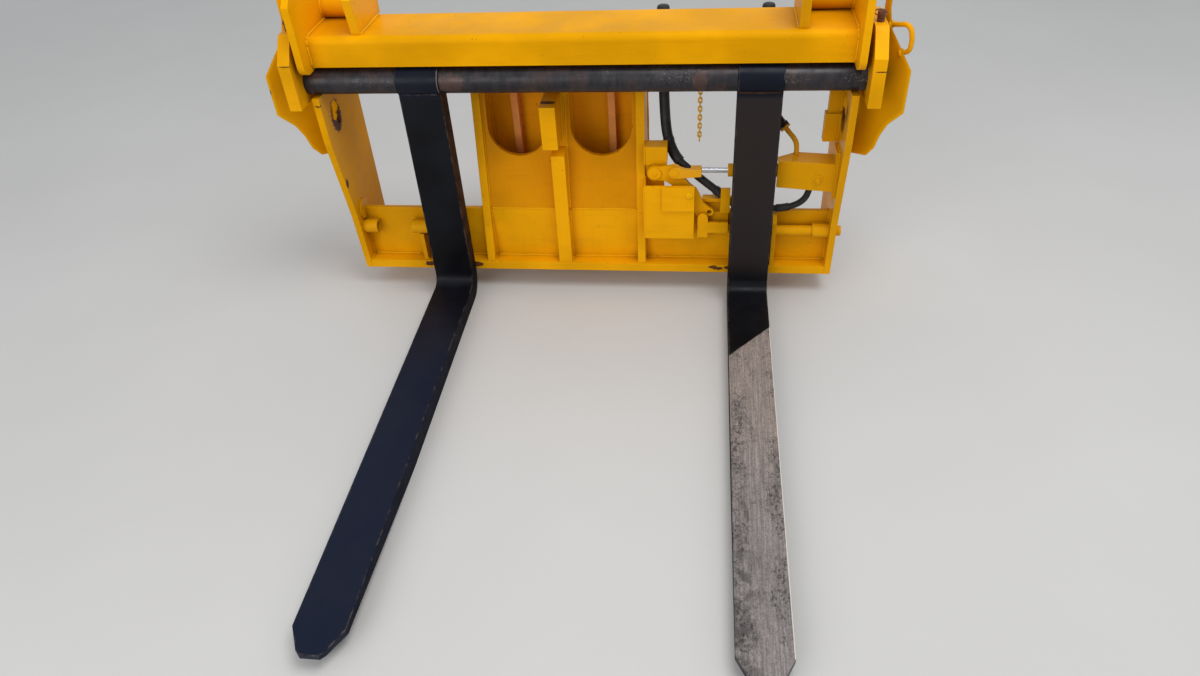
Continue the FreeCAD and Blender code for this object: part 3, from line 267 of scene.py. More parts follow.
    def done(self, color, roughness, normal, metallic=0.0, gloss=0.5, tint=(1.0, 1.0, 1.0)):
        """The finished material; gloss and tint are the same all over the surface."""
        for key, value in (("Base Color", color), ("Roughness", roughness), ("Normal", normal),
                           ("Metallic", metallic)):
            self.feed(self.surface.inputs[key], value)
        self.surface.inputs["Specular IOR Level"].default_value = gloss
        self.surface.inputs["Specular Tint"].default_value = (*tint, 1.0)
        return self.material


def yellow_coat(look, base=YELLOW_BASE, chips=0.62, grain=1.0, brush=None, marks=(), lip=0.0):
    """Brushed yellow paint with its chips; returns its colour, roughness and normal.

    chips is the noise level above which an edge is chipped, grain the strength of the fine relief, brush the
    stretch of its strokes, marks the places of single chips and of dark lines of painted shade, and lip the
    width in metres of an edge lightened as a painted highlight.
    """
    color = look.mix(look.range(look.noise(3.5, 3.0), 0.35, 0.68), shade(base, 0.82), shade(base, 1.10))
    streaks = look.range(look.noise(9.0, 6.0, 0.6, (1.0, 1.0, 7.0)), 0.5, 0.8)
    color = look.cover(color, shade(base, 0.62), streaks, 0.22)
    # Tight corners are darkened brown: dirt, and painted shade in the corners
    color = look.cover(color, YELLOW_CORNER_DIRT_AND_SHADE, look.corners(0.03), 0.45)
    edge = look.edges(0.005)
    # Edges are lightened as a painted highlight, in a wide strip where lip is given
    if lip:
        color = look.cover(color, YELLOW_EDGE_HIGHLIGHT, look.edges(lip), 0.75)
    else:
        color = look.cover(color, YELLOW_EDGE_HIGHLIGHT, edge, 0.35)
    spots = look.range(look.noise(38.0, 8.0, 0.62), chips, chips + 0.02)
    where = look.range(look.noise(2.2, 2.0), 0.50, 0.58)
    chip = look.times(look.times(spots, where), edge)
    for mark in marks:
        chip = look.larger(chip, look.near(*mark))
    fine = look.noise(420.0, 3.0, 0.6)
    color = look.cover(color, look.mix(look.range(fine, 0.4, 0.6), RUST_DEEP, RUST_PALE), chip)
    specks = look.range(look.noise(160.0, 2.0, 0.5), 0.735, 0.76)
    color = look.cover(color, RUST_SPECK, specks, 0.7)
    rough = look.range(look.noise(14.0, 4.0), 0.3, 0.7, 0.28, 0.44)
    height = look.plus(look.times(fine, 0.35), look.noise(55.0, 5.0, 0.6))
    if brush is not None:
        strokes = look.noise(110.0, 4.0, 0.6, brush)
        height = look.plus(height, look.times(strokes, 1.3))
        color = look.cover(color, shade(base, 0.66), look.range(strokes, 0.52, 0.72), 0.16)
    height = look.minus(height, look.times(chip, 0.8))
    return color, rough, look.bump(height, 0.22 * grain, 0.0016, look.rounded(0.0016))


def yellow_paint(name, gloss=0.12, **options):
    look = Look(name)
    return look.done(*yellow_coat(look, **options), gloss=gloss, tint=YELLOW_TINT)


def primer(name):
    """Pinkish brown primer showing through thin paint."""
    look = Look(name)
    color = look.mix(look.range(look.noise(14.0, 6.0, 0.6), 0.35, 0.65), PRIMER_DEEP, PRIMER_PALE)
    normal = look.bump(look.noise(240.0, 5.0, 0.7), 0.4, 0.001, look.rounded(0.0016))
    return look.done(color, 0.6, normal, gloss=0.14, tint=YELLOW_TINT)


def off_middle(look, side):
    """How far a point is from the middle plane of a fork, in metres."""
    return look.math("ABSOLUTE", look.minus(look.axis("X"), FORK_X[side] / 1000))


def brown_side(look, color):
    """The left fork's colour with its rusty inner flank and the pale ring on its eye."""
    flank = look.range(look.axis("X"), -0.3172, -0.3164)
    above_heel = look.range(look.axis("Z"), 0.07, 0.16)
    brown = look.range(look.noise(26.0, 6.0, 0.65), 0.30, 0.62)
    color = look.cover(color, SHANK_BROWN, look.times(look.times(flank, above_heel), brown))
    return look.cover(color, EYE_RING, look.near(-317.5, -8, 612, 1.1, 40, 34, 2.6), 0.3)


def worn_steel(look, side):
    """Scratched and pitted steel on a blade's top, lightened grey as a painted patch of sunlight, warm near its
    heel and cooler towards its tip, with a painted highlight along its right edge.
    """
    lines = look.range(look.noise(26.0, 8.0, 0.68, (11.0, 0.35, 1.0)), 0.34, 0.68)
    to_tip = look.range(look.axis("Y"), -0.12, -0.48)
    steel = look.mix(to_tip, look.mix(lines, *SUNLIT_WORN_WARM), look.mix(lines, *SUNLIT_WORN_COOL))
    fine_lines = look.range(look.noise(120.0, 4.0, 0.7, (7.0, 0.7, 1.0)), 0.52, 0.64)
    steel = look.cover(steel, WORN_LINE, fine_lines, 0.38)
    speckle = look.range(look.noise(300.0, 3.0, 0.7), 0.46, 0.60)
    steel = look.cover(steel, WORN_LINE, speckle, 0.42)
    shine = look.range(look.noise(170.0, 3.0, 0.7, (3.0, 0.6, 1.0)), 0.60, 0.70)
    steel = look.cover(steel, WORN_SHINE, shine, 0.5)
    left_tip = look.times(look.range(look.axis("Y"), -0.42, -0.55), look.range(look.axis("X"), 0.43, 0.37))
    tip_blotch = look.times(left_tip, look.range(look.noise(24.0, 7.0, 0.7), 0.44, 0.56))
    dark = look.range(look.noise(15.0, 8.0, 0.7, (3.0, 0.8, 1.0)), 0.57, 0.68)
    steel = look.cover(steel, WORN_BLOTCH, look.larger(look.times(dark, 0.55), look.times(tip_blotch, 0.8)))
    by_edges = look.range(off_middle(look, side), 0.010, 0.040)
    spread = look.plus(look.noise(11.0, 5.0, 0.65, (1.6, 0.8, 1.0)), look.times(by_edges, 0.072))
    spread = look.plus(spread, look.times(left_tip, 0.06))
    pits = look.range(look.noise(185.0, 4.0, 0.75, (1.0, 0.7, 1.0)), 0.51, 0.58)
    steel = look.cover(steel, WORN_SPREAD, look.range(spread, 0.50, 0.66), 0.30)
    steel = look.cover(steel, WORN_PIT, look.times(pits, look.range(spread, 0.50, 0.62)), 0.74)
    # A pale line along the blade's right edge is a painted highlight of its sunlit side
    return look.cover(steel, SUNLIT_RIM_HIGHLIGHT, look.range(look.axis("X"), 0.4588, 0.4596), 0.8)


def fork_paint(name, side, colors):
    """Black fork paint, with rust on the left fork's flank, a painted sky reflection on the left blade and the
    eyes, painted shade on the blades' side faces, and on the right blade's top bare steel in a painted patch of
    sunlight that ends at a painted shadow edge.
    """
    look = Look(name)
    # Towards the tip the colour turns to the blade's, which on the left fork is a painted sky reflection
    color = look.mix(look.range(look.axis("Y"), 0.30, -0.05), colors["heel"], colors["blade"])
    color = look.cover(color, colors["shank"], look.range(look.axis("Z"), 0.06, 0.14))
    # The fork eyes' blue-black is a painted sheen of the sky
    color = look.cover(color, FORK_EYE_SKY_SHEEN, look.range(look.axis("Z"), 0.560, 0.572))
    broad = look.range(look.noise(5.0, 4.0), 0.35, 0.7)
    color = look.cover(color, look.mix(0.5, color, FORK_PATCH), broad, 0.6)
    if side == "left":
        color = brown_side(look, color)
    scratches = look.noise(30.0, 6.0, 0.7, (14.0, 0.55, 2.0))
    color = look.cover(color, FORK_SCRATCH, look.range(scratches, 0.62, 0.72), 0.22)
    rub = look.times(look.edges(0.006), look.range(look.noise(40.0, 6.0), 0.47, 0.64))
    color = look.cover(color, FORK_RUB, rub)
    metallic = look.times(rub, 0.6)
    # The blades' side faces are darkened as painted shade, and made rougher
    flank = look.range(off_middle(look, side), 0.0492, 0.0498)
    rough = look.plus(look.range(look.noise(22.0, 5.0), 0.3, 0.7, 0.28, 0.44), look.times(flank, 0.40))
    color = look.cover(color, FORK_FLANK_SHADE, flank, 0.4)
    # On the right blade's top, beyond a slanted line, the steel is worn and lit by a painted patch of sunlight:
    # the line is the painted shadow edge of the top beam
    if side == "right":
        across_shadow_edge = look.minus(look.axis("Y"), look.times(look.axis("X"), 1.11))
        across_shadow_edge = look.plus(across_shadow_edge, look.times(look.noise(18.0, 5.0), 0.014))
        on_top = look.range(look.axis("Z"), 0.041, 0.0445)
        bare = look.times(look.range(across_shadow_edge, -0.3110, -0.3165), on_top)
        color = look.cover(color, worn_steel(look, side), bare)
        metallic = look.larger(metallic, look.times(bare, 0.15))
        rough = look.plus(look.times(bare, 0.18), rough)
    height = look.plus(look.noise(300.0, 3.0), look.times(scratches, 0.8))
    height = look.plus(height, look.times(look.range(look.cells(95.0), 0.10, 0.05), 0.25))
    normal = look.bump(height, 0.22, 0.0012, look.rounded(0.002))
    return look.done(color, rough, normal, metallic=metallic, gloss=0.12)


def plain_paint(name, base):
    """Flat paint for wire and other very small pieces."""
    look = Look(name)
    color = look.mix(look.noise(60.0, 4.0), shade(base, 0.8), base)
    normal = look.bump(look.noise(300.0, 3.0), 0.15, 0.0005)
    return look.done(color, 0.45, normal, gloss=0.14, tint=YELLOW_TINT)


def dark_steel(name, patches=(), scribbled=False):
    """Dark greasy steel with rubbed lines, rust patches and, where scribbled, thin curling scratches."""
    look = Look(name)
    mottled = look.range(look.noise(24.0, 7.0, 0.7, (3.0, 1.0, 1.0)), 0.35, 0.70)
    color = look.mix(mottled, SHAFT_DEEP, SHAFT_PALE)
    color = look.cover(color, SHAFT_RUST, look.range(look.noise(9.0, 6.0, 0.65), 0.50, 0.70), 0.5)
    for patch in patches:
        color = look.cover(color, SHAFT_PATCH, look.near(*patch), 0.42)
    rubbed = look.range(look.noise(60.0, 6.0, 0.7, (0.3, 3.0, 3.0)), 0.62, 0.72)
    color = look.cover(color, SHAFT_RUBBED, rubbed, 0.3)
    if scribbled:
        curl = look.math("ABSOLUTE", look.minus(look.noise(48.0, 2.0, 0.5, twist=2.5), 0.5))
        on_top = look.range(look.axis("Z"), 0.598, 0.606)
        here = look.times(look.range(look.noise(13.0, 2.0), 0.52, 0.60), on_top)
        color = look.cover(color, SHAFT_SCRIBBLE, look.times(look.range(curl, 0.010, 0.004), here), 0.4)
    rough = look.range(look.noise(30.0, 5.0), 0.3, 0.7, 0.30, 0.50)
    normal = look.bump(look.noise(180.0, 6.0, 0.7), 0.25, 0.001, look.rounded(0.0015))
    return look.done(color, rough, normal, metallic=0.2, gloss=0.4)


def rusty_steel(name):
    look = Look(name)
    color = look.mix(look.range(look.noise(70.0, 8.0, 0.7), 0.35, 0.65), PIN_RUST_DEEP, PIN_RUST_PALE)
    normal = look.bump(look.noise(220.0, 6.0, 0.7), 0.5, 0.001)
    return look.done(color, 0.75, normal, metallic=0.2)


def bright_steel(name, base=CHROME, rough_span=(0.10, 0.24), painted_to=None):
    """Bare steel; painted_to is the X, in metres, that yellow paint reaches."""
    look = Look(name)
    lines = look.noise(80.0, 6.0, 0.6, (6.0, 1.0, 1.0))
    color = look.mix(look.range(lines, 0.3, 0.7), shade(base, 0.82), base)
    color = look.cover(color, STEEL_DIRT, look.range(look.noise(45.0, 6.0), 0.6, 0.7), 0.5)
    rough = look.range(lines, 0.3, 0.7, *rough_span)
    if painted_to is None:
        return look.done(color, rough, look.bump(lines, 0.08, 0.0005, look.rounded(0.0006)), metallic=1.0)
    bare = look.range(look.axis("X"), painted_to - 0.001, painted_to + 0.001)
    paint, paint_rough, paint_normal = yellow_coat(look)
    rough = look.plus(look.times(bare, rough), look.times(look.minus(1.0, bare), paint_rough))
    return look.done(look.mix(bare, paint, color), rough, paint_normal, metallic=bare, gloss=0.2)


def rubber(name):
    look = Look(name)
    dust = look.range(look.noise(26.0, 6.0), 0.45, 0.7)
    color = look.cover(RUBBER_BLACK, RUBBER_DUST, dust, 0.5)
    weave = look.plus(look.noise(650.0, 3.0, 0.6), look.noise(90.0, 4.0))
    return look.done(color, 0.5, look.bump(weave, 0.35, 0.0008, look.rounded(0.003)), gloss=0.35)


def collared_pipe(name, place, size):
    """Yellow pipe with a black collar at one place."""
    look = Look(name)
    paint, rough, normal = yellow_coat(look)
    color = look.cover(paint, COLLAR_BLACK, look.near(*place, size, size, size, 0.1))
    return look.done(color, rough, normal, gloss=0.2)


# Brush strokes are long along the axis whose stretch is small
UPRIGHT_STROKES = (1.0, 1.0, 0.10)
LENGTH_STROKES = (0.10, 1.0, 1.0)
# The looks of the record's slots, for the nodes without a look of their own and for the scene's pieces
SLOT_LOOK = {
    "yellow_paint": yellow_paint("yellow_paint_look"),
    "black_paint": fork_paint("black_paint_look", "left", LEFT_FORK_SKY_SHEEN),
    "worn_steel": dark_steel("worn_steel_look"),
    "rusty_steel": rusty_steel("rusty_steel_look"),
    "chrome": bright_steel("chrome_look"),
    "plated_steel": bright_steel("hardware_look", ZINC, (0.30, 0.5)),
    "rubber": rubber("rubber_look"),
}
# Marks and patches are places in the drawing with three half sizes, millimetres, and how ragged they are
NODE_LOOK = {
    "fork_right": fork_paint("worn_sunlit_black_look", "right", RIGHT_FORK),
    "fork_shaft": dark_steel("fork_shaft_look"),
    "shaft_sleeves": dark_steel("shaft_sleeves_look", scribbled=True, patches=[
        (-285, -8, 604, 30, 26, 26, 2.6), (278, -8, 604, 16, 26, 30, 2.2)]),
    "ram_rod": bright_steel("ram_rod_look", painted_to=0.287),
    "ram_elbow": collared_pipe("ram_elbow_look", (474, 110, 452), 17.0),
    "side_plate_left": yellow_paint("side_plate_left_look", gloss=0.05, marks=[
        (-608, 60, 498, 12, 31, 43, 1.3), (-612, 24, 331, 16, 8, 13, 1.2), (-616, -8, 554, 14, 4, 5, 1.4)]),
    "side_plate_right": yellow_paint("side_plate_right_look", marks=[
        (608, 25, 516, 8, 8, 24, 1.0), (608, 62, 488, 8, 29, 38, 1.6)]),
    "bottom_plate": yellow_paint("bottom_plate_look", brush=LENGTH_STROKES, marks=[
        (-440, 45, 75, 18, 8, 8, 1.3), (-312, 45, 75, 17, 8, 8, 1.3), (323, 45, 77, 13, 7, 6, 1.8),
        (336, 45, 73, 15, 7, 5, 1.8), (359, 45, 76, 10, 7, 5, 1.8)]),
    "web": yellow_paint("web_look", brush=UPRIGHT_STROKES),
    "top_beam": yellow_paint("top_beam_look", gloss=0.05, brush=LENGTH_STROKES),
    "saddle": yellow_paint("saddle_look", base=SADDLE_SHADED_YELLOW, brush=UPRIGHT_STROKES),
    # The stop block's mark is a dark line along its top back edge: painted shade of the gap behind it, in rust
    # colours
    "stop_block": yellow_paint("stop_block_look", marks=[(-85, 70, 525, 25, 9, 1.6, 0.9)]),
    # The guides' lip is a painted highlight along their outlines
    "guide_left": yellow_paint("guide_left_look", lip=0.012),
    "guide_right": yellow_paint("guide_right_look", lip=0.012),
    # The ears' marks are dark lines across their fronts: painted shadows of a weld bead that is left out, in rust
    # colours
    "ear_left": yellow_paint("ear_left_look", marks=[(-647, -50, 665, 16, 6, 1.4, 0.7)]),
    "ear_right": yellow_paint("ear_right_look", marks=[(655, -50, 641, 14, 6, 1.4, 0.7)]),
    "side_bracket": yellow_paint("side_bracket_look", chips=0.56),
    "rear_plate": yellow_paint("rear_plate_look", base=REAR_YELLOW, grain=2.4),
    "stiffeners": primer("stiffeners_look"),
}
for row in frame["record"]["subparts"]:
    thing = frame["nodes"][row["node"]]
    look = NODE_LOOK.get(row["node"], SLOT_LOOK[row["material_slot"]])
    for i in range(len(thing.material_slots)):
        thing.material_slots[i].material = look

# Floor, world and lamps
FLOOR_HALF = 9
LAMP_AIM = (0.0, 0.2, 0.3)
# Name, width in metres, power in watts and place of each lamp
LAMPS = [("key", 2.2, 62.0, (1.1, -0.5, 3.5)), ("fill", 2.6, 45.0, (-1.8, -3.0, 1.8))]

floor_mesh = bpy.data.meshes.new("floor")
floor_corners = [(x * FLOOR_HALF, y * FLOOR_HALF, 0) for x, y in ((-1, -1), (1, -1), (1, 1), (-1, 1))]
floor_mesh.from_pydata(floor_corners, [], [(0, 1, 2, 3)])
floor = bpy.data.objects.new("floor", floor_mesh)
bpy.context.scene.collection.objects.link(floor)
floor_look = Look("floor_look")
floor_color = floor_look.mix(floor_look.noise(1.2, 5.0), FLOOR_DEEP, FLOOR_PALE)
floor_bump = floor_look.bump(floor_look.noise(60.0, 5.0), 0.1, 0.001)
floor_mesh.materials.append(floor_look.done(floor_color, 0.8, floor_bump))

world = bpy.data.worlds.new("world")
bpy.context.scene.world = world
world.use_nodes = True
world.node_tree.nodes["Background"].inputs["Color"].default_value = (0.92, 0.95, 1.0, 1.0)
world.node_tree.nodes["Background"].inputs["Strength"].default_value = 0.66

for name, size, power, place in LAMPS:
    data = bpy.data.lights.new(name, "AREA")
    data.shape = "DISK"
    data.size = size
    data.energy = power
    lamp = bpy.data.objects.new(name, data)
    bpy.context.scene.collection.objects.link(lamp)
    facing = (Vector(LAMP_AIM) - Vector(place)).to_track_quat("-Z", "Y").to_matrix().to_4x4()
    lamp.matrix_world = Matrix.Translation(place) @ facing


# Mesh helpers; sizes and places in metres, made by at() from the drawing's
def piece(name, body, mesh_data, slot="yellow_paint", look=None, smooth=True):
    """A piece of the scene that rides on a body and has its slot's look, or one of its own."""
    vertices, faces = mesh_data
    mesh = bpy.data.meshes.new(name)
    mesh.from_pydata([tuple(v) for v in vertices], [], faces)
    mesh.validate()
    check = bmesh.new()
    check.from_mesh(mesh)
    bmesh.ops.recalc_face_normals(check, faces=check.faces)
    check.to_mesh(mesh)
    check.free()
    for polygon in mesh.polygons:
        polygon.use_smooth = smooth
    mesh.materials.append(look or SLOT_LOOK[slot])
    thing = bpy.data.objects.new(name, mesh)
    bpy.context.scene.collection.objects.link(thing)
    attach(thing, body)
    return thing


def joined(parts):
    vertices, faces = [], []
    for more, their_faces in parts:
        start = len(vertices)
        vertices += more
        faces += [tuple(i + start for i in face) for face in their_faces]
    return vertices, faces


def frame_along(direction):
    """Two directions square to one direction and to each other."""
    side = direction.orthogonal().normalized()
    return side, direction.cross(side).normalized()


def ring_points(centre, side, other, radius, count):
    points = []
    for k in range(count):
        a = math.tau * k / count
        points.append(centre + (side * math.cos(a) + other * math.sin(a)) * radius)
    return points


def ring_faces(rings, count, closed=False):
    """Faces between rings of points; rings that don't close get a face at each end."""
    faces = []
    for i in range(rings if closed else rings - 1):
        j = (i + 1) % rings
        for k in range(count):
            m = (k + 1) % count
            faces.append((i * count + k, i * count + m, j * count + m, j * count + k))
    if not closed:
        faces.append(tuple(range(count)))
        faces.append(tuple((rings - 1) * count + k for k in range(count)))
    return faces


def swept(points, radii, count=8, closed=False):
    """A round tube through the points, one radius for each of them."""
    vertices = []
    side = None
    total = len(points)
    for i, point in enumerate(points):
        before = points[(i - 1) % total] if closed or i > 0 else point
        after = points[(i + 1) % total] if closed or i < total - 1 else point
        way = (after - before).normalized()
        if side is None:
            side = frame_along(way)[0]
        side = (side - way * side.dot(way)).normalized()
        vertices += ring_points(point, side, way.cross(side), radii[i], count)
    return vertices, ring_faces(total, count, closed)


def turned(centre, axis, profile, count=24):
    """A round solid: profile holds (distance along the axis, radius) pairs."""
    axis = Vector(axis).normalized()
    vertices = []
    for distance, radius in profile:
        vertices += ring_points(centre + axis * distance, *frame_along(axis), radius, count)
    return vertices, ring_faces(len(profile), count)


# A weld bead's radius goes through these shares of its size, ripple by ripple
RIPPLES = (0.88, 1.0, 1.06)
BEAD_STEP, CIRCLE_STEP = 0.0032, 0.0034


def bead(start, end, size):
    """A weld bead: scalloped ripples, a little uneven, tapering at both ends."""
    length = (end - start).length
    count = max(4, int(length / BEAD_STEP))
    side = frame_along((end - start).normalized())[0]
    wander, swell = random.uniform(0, 6), random.uniform(0, 6)
    points, radii = [], []
    for i in range(count + 1):
        share = i / count
        s = share * length
        taper = min(1.0, 0.45 + 6 * min(share, 1 - share) * length / 0.02)
        drift = size * 0.10 * math.sin(wander + s * 70)
        points.append(start.lerp(end, share) + side * drift)
        radii.append(size * RIPPLES[i % 3] * taper * (1 + 0.10 * math.sin(swell + s * 46)))
    return swept(points, radii)


def bead_path(corners, size):
    return joined([bead(a, b, size) for a, b in zip(corners, corners[1:])])


def circle_bead(centre, axis, radius, size):
    side, other = frame_along(Vector(axis))
    count = max(24, int(math.tau * radius / CIRCLE_STEP))
    radii = [size * RIPPLES[i % 3] * (1 + 0.08 * math.sin(5 * math.tau * i / count)) for i in range(count)]
    return swept(ring_points(centre, side, other, radius, count), radii, closed=True)


def hex_head(centre, axis, across, height, spin):
    """A hexagon head with its chamfered top, on a washer."""
    axis = Vector(axis).normalized()
    side, other = frame_along(axis)
    half, washer_height, count = across / 2, 0.0015, 12
    rings = [(0.0, 1.0), (height * 0.82, 1.0), (height, 0.86)]
    vertices = []
    for distance, share in rings:
        for k in range(count):
            a = math.tau * k / count + spin
            radius = (half / math.cos(math.pi / 6) if k % 2 == 0 else half) * share
            middle = centre + axis * (distance + washer_height)
            vertices.append(middle + (side * math.cos(a) + other * math.sin(a)) * radius)
    washer = turned(centre, axis, [(0.0, across * 0.98), (0.0012, across * 0.98), (0.0016, across * 0.94),
                                   (0.0016, across * 0.3)])
    return joined([(vertices, ring_faces(len(rings), count)), washer])


# Weld beads. A run is a bead's size and the corners that it passes, millimetres in the drawing
inner, outer = SIDE_INNER - 0.5, SIDE_INNER + SIDE_THICK + 0.5
low, high = PLATE_TOP + 0.5, BEAM_TOP + 1
MIRRORED_RUNS = {
    "side_plate": [
        (3.4, [(inner, 2, 646), (inner, 2, 692), (inner, 8, 705), (inner, 20, high), (inner, 153, high)]),
        (3.0, [(inner, BEAM_BACK + 1, 694), (inner, BEAM_BACK + 1, 604)]),
        (3.0, [(inner, 47, low), (inner, WEB_FRONT - 1, low), (inner, WEB_FRONT - 1, WEB_TOP - 1)]),
        (3.0, [(inner, WEB_BACK + 0.5, low), (inner, 180, low)]),
        (3.0, [(inner, WEB_BACK + 1, PLATE_TOP + 2), (inner, WEB_BACK + 1, WEB_TOP)]),
    ],
    "upright": [(3.2, [(x, 22, high), (x, 152, high)]) for x in (483.5, 504.5)],
    "ear": [
        (3.0, [(EAR_OUTER + 0.5, 57.5, 561), (EAR_OUTER + 0.5, 57.5, EAR_TOP - 2)]),
        (3.2, [(outer, 97, 388), (outer, 97, 556)]),
        (2.6, [(outer + 0.5, 66, EAR_TOP + 0.3), (outer + 0.5, 111, EAR_TOP + 0.3)]),
        (2.6, [(EAR_INNER + 0.5, 64, 562), (EAR_INNER + 0.5, 64, EAR_TOP - 2)]),
    ],
}
welds = {group: [] for group in ("side_plate", "upright", "ear", "cross_member", "hitch", "lock", "rear")}
for side in SIDES.values():
    for group, runs in MIRRORED_RUNS.items():
        welds[group] += [(size, [(side * x, y, z) for x, y, z in run]) for size, run in runs]
for name, (x0, x1) in RIB_X.items():
    top = RIB_TOP - 4 if name == "centre" else RIB_TOP
    for x in (x0 - 0.3, x1 + 0.3):
        foot = [(x, 52, PLATE_TOP + 0.6), (x, 81, PLATE_TOP + 0.6), (x, 81.4, WEB_TOP - 1)]
        welds["cross_member"].append((2.8, foot))
        beside_saddle = not (name == "left" and x < x0) and not (name == "right" and x > x1)
        if beside_saddle:
            welds["hitch"].append((2.8, [(x, WEB_FRONT - 0.6, WEB_TOP + 1), (x, SADDLE_FRONT - 0.6, top)]))
        welds["rear"].append((3.2, [(x, 228, 90), (x, 228, 596)]))
front, back = WEB_FRONT - 0.8, WEB_BACK + 0.8
for a, b in ((-606, -476), (-472, -283), (-259, -87), (-49, 123), (147, 466), (478, 606)):
    welds["cross_member"].append((2.8, [(a, front, PLATE_TOP + 0.8), (b, front, PLATE_TOP + 0.8)]))
    welds["rear"].append((3.0, [(a, back, PLATE_TOP + 0.8), (b, back, PLATE_TOP + 0.8)]))
for a, b in ((-259, -87), (-49, 123)):
    welds["hitch"].append((1.9, [(a, WEB_FRONT - 0.1, WEB_TOP + 1.2), (b, WEB_FRONT - 0.1, WEB_TOP + 1.2)]))
for x in (STOP_X[0] - 0.4, STOP_X[1] + 0.4):
    welds["hitch"].append((2.8, [(x, 112.5, 418), (x, 136, 524)]))
for side in SIDES.values():
    cheek = HITCH_X + side * CHEEK_OFFSET
    for x in (cheek - 12.8, cheek + 12.8):
        welds["rear"].append((4.0, [(x, 242.5, 90), (x, 242.5, 566)]))
welds["lock"] = [
    (2.4, [(145.5, 34, 174), (145.5, 34, 319)]),
    (2.6, [(145.5, 77, 357.6), (145.5, 113, 357.6)]),
    (2.6, [(145.5, 77, 406.4), (145.5, 113, 406.4)]),
    (2.4, [(145.5, 75.6, 359), (145.5, 75.6, 405)]),
    (2.2, [(150, 80, 172), (199, 81.6, 172)]),
    (2.2, [(291, 81.6, 228.4), (349, 81.6, 228.4)]),
    (2.8, [(inner, 38.6, 290), (inner, 38.6, 408)]),
    (2.8, [(inner, 41, 410.4), (inner, 93, 410.4)]),
    (2.4, [(inner, 95.6, 412), (inner, 95.6, 481)]),
    (2.4, [(inner, 101.6, 484), (inner, 101.6, 559)]),
    (2.6, [(512, 87.8, 300), (598, 87.8, 296)]),
    (2.4, [(-473, 80.5, 170.5), (-431, 80.5, 170.5)]),
    (2.4, [(-473, 80.5, 193.5), (-431, 80.5, 193.5)]),
    (2.4, [(-607, 80.5, 193.5), (-571, 80.5, 193.5)]),
    (2.4, [(568, 80.5, 193.5), (607, 80.5, 193.5)]),
    (2.2, [(-457.4, 53, 84.8), (-457.4, 81, 84.8)]),
    (2.2, [(-446.6, 53, 84.8), (-446.6, 81, 84.8)]),
]
for group, runs in welds.items():
    parts = [bead_path([at(*corner) for corner in run], size / 1000) for size, run in runs]
    piece("weld_" + group, "frame", joined(parts))

rings = [circle_bead(at(side * x, STUB_Y, STUB_Z), (1, 0, 0), 0.0255, 0.003)
         for side in SIDES.values() for x in (504.7, SIDE_INNER - 0.4)]
piece("weld_stub_tubes", "frame", joined(rings))
for side, x in FORK_X.items():
    runs = [bead(at(x - 48, y, 577), at(x + 48, y, 577), 0.0032) for y in (-0.6, 45.6)]
    piece("weld_fork_" + side, "fork_" + side, joined(runs), "black_paint")


# Bolts, washers and clips
WIRE_SIDES = 6


def hardware(name, body, parts, slot="plated_steel"):
    return piece(name, body, joined(parts), slot, smooth=False)


TO_FRONT, TO_BACK = (0, -1, 0), (0, 1, 0)
DISC_PROFILE = [(0, 0.0165), (0.0026, 0.0165), (0.0038, 0.0153), (0.0038, 0.0045), (0.0056, 0.0042),
                (0.0060, 0.0034)]
PIN_PROFILE = [(0, 0.006), (0, 0.0105), (0.0016, 0.0105), (0.0018, 0.0062)]
hardware("lever_bolts", "lock_lever", [
    turned(at(DISC_WELD[0], 58.2, DISC_WELD[1]), TO_FRONT, DISC_PROFILE, 32),
    turned(at(ROD_PIN[0], 47.2, ROD_PIN[1]), TO_FRONT, PIN_PROFILE),
], "yellow_paint")
hardware("housing_bolt", "frame", [
    hex_head(at(563, 40, 338.4), TO_FRONT, 0.0135, 0.0055, 0.1)], "yellow_paint")
hardware("lever_pivot_nut", "frame", [
    hex_head(at(LEVER_PIVOT[0], 74, LEVER_PIVOT[1]), TO_BACK, 0.019, 0.006, 0.2)])
CLIP_RADIUS, CLIP_WIRE, CLIP_POINTS = 13.0, 0.0013, 20
for name, side in SIDES.items():
    collar = turned(at(side * EAR_OUTER, SHAFT_Y, SHAFT_Z), (side, 0, 0),
                    [(0.0, 0.0202), (0.0, 0.028), (0.0035, 0.028), (0.0045, 0.027), (0.0045, 0.0202)], 40)
    piece("shaft_collar_" + name, "frame", collar, "worn_steel")
    clip = []
    for k in range(CLIP_POINTS):
        a = math.tau * k / CLIP_POINTS
        clip.append(at(side * KEEPER_X + CLIP_RADIUS * math.cos(a), SHAFT_Y + 10 + CLIP_RADIUS * math.sin(a),
                       KEEPER_Z + 2.5 * math.sin(a)))
    piece("keeper_clip_" + name, "frame", swept(clip, [CLIP_WIRE] * CLIP_POINTS, WIRE_SIDES, True), "rusty_steel")

# Chain of round links; places in the drawing's millimetres, a link's sizes in metres
CHAIN_X, CHAIN_Y, CHAIN_TOP, CHAIN_STEP, CHAIN_LINKS = 278.5, 164.0, 588.0, 11.2, 19
LINK_WIRE, LINK_HALF_HEIGHT, LINK_HALF_WIDTH, LINK_POINTS = 0.00185, 0.0075, 0.004, 16
HANGER_ENDS, HANGER_WIRE = (593.4, 612.0), 0.0018


def chain_link(centre, across):
    points = []
    for k in range(LINK_POINTS):
        a = math.tau * k / LINK_POINTS
        rise = (LINK_HALF_HEIGHT - LINK_HALF_WIDTH) * (1 if math.sin(a) >= 0 else -1)
        up = rise + LINK_HALF_WIDTH * math.sin(a)
        points.append(centre + across * (LINK_HALF_WIDTH * math.cos(a)) + Vector((0, 0, up)))
    return swept(points, [LINK_WIRE] * LINK_POINTS, WIRE_SIDES, closed=True)


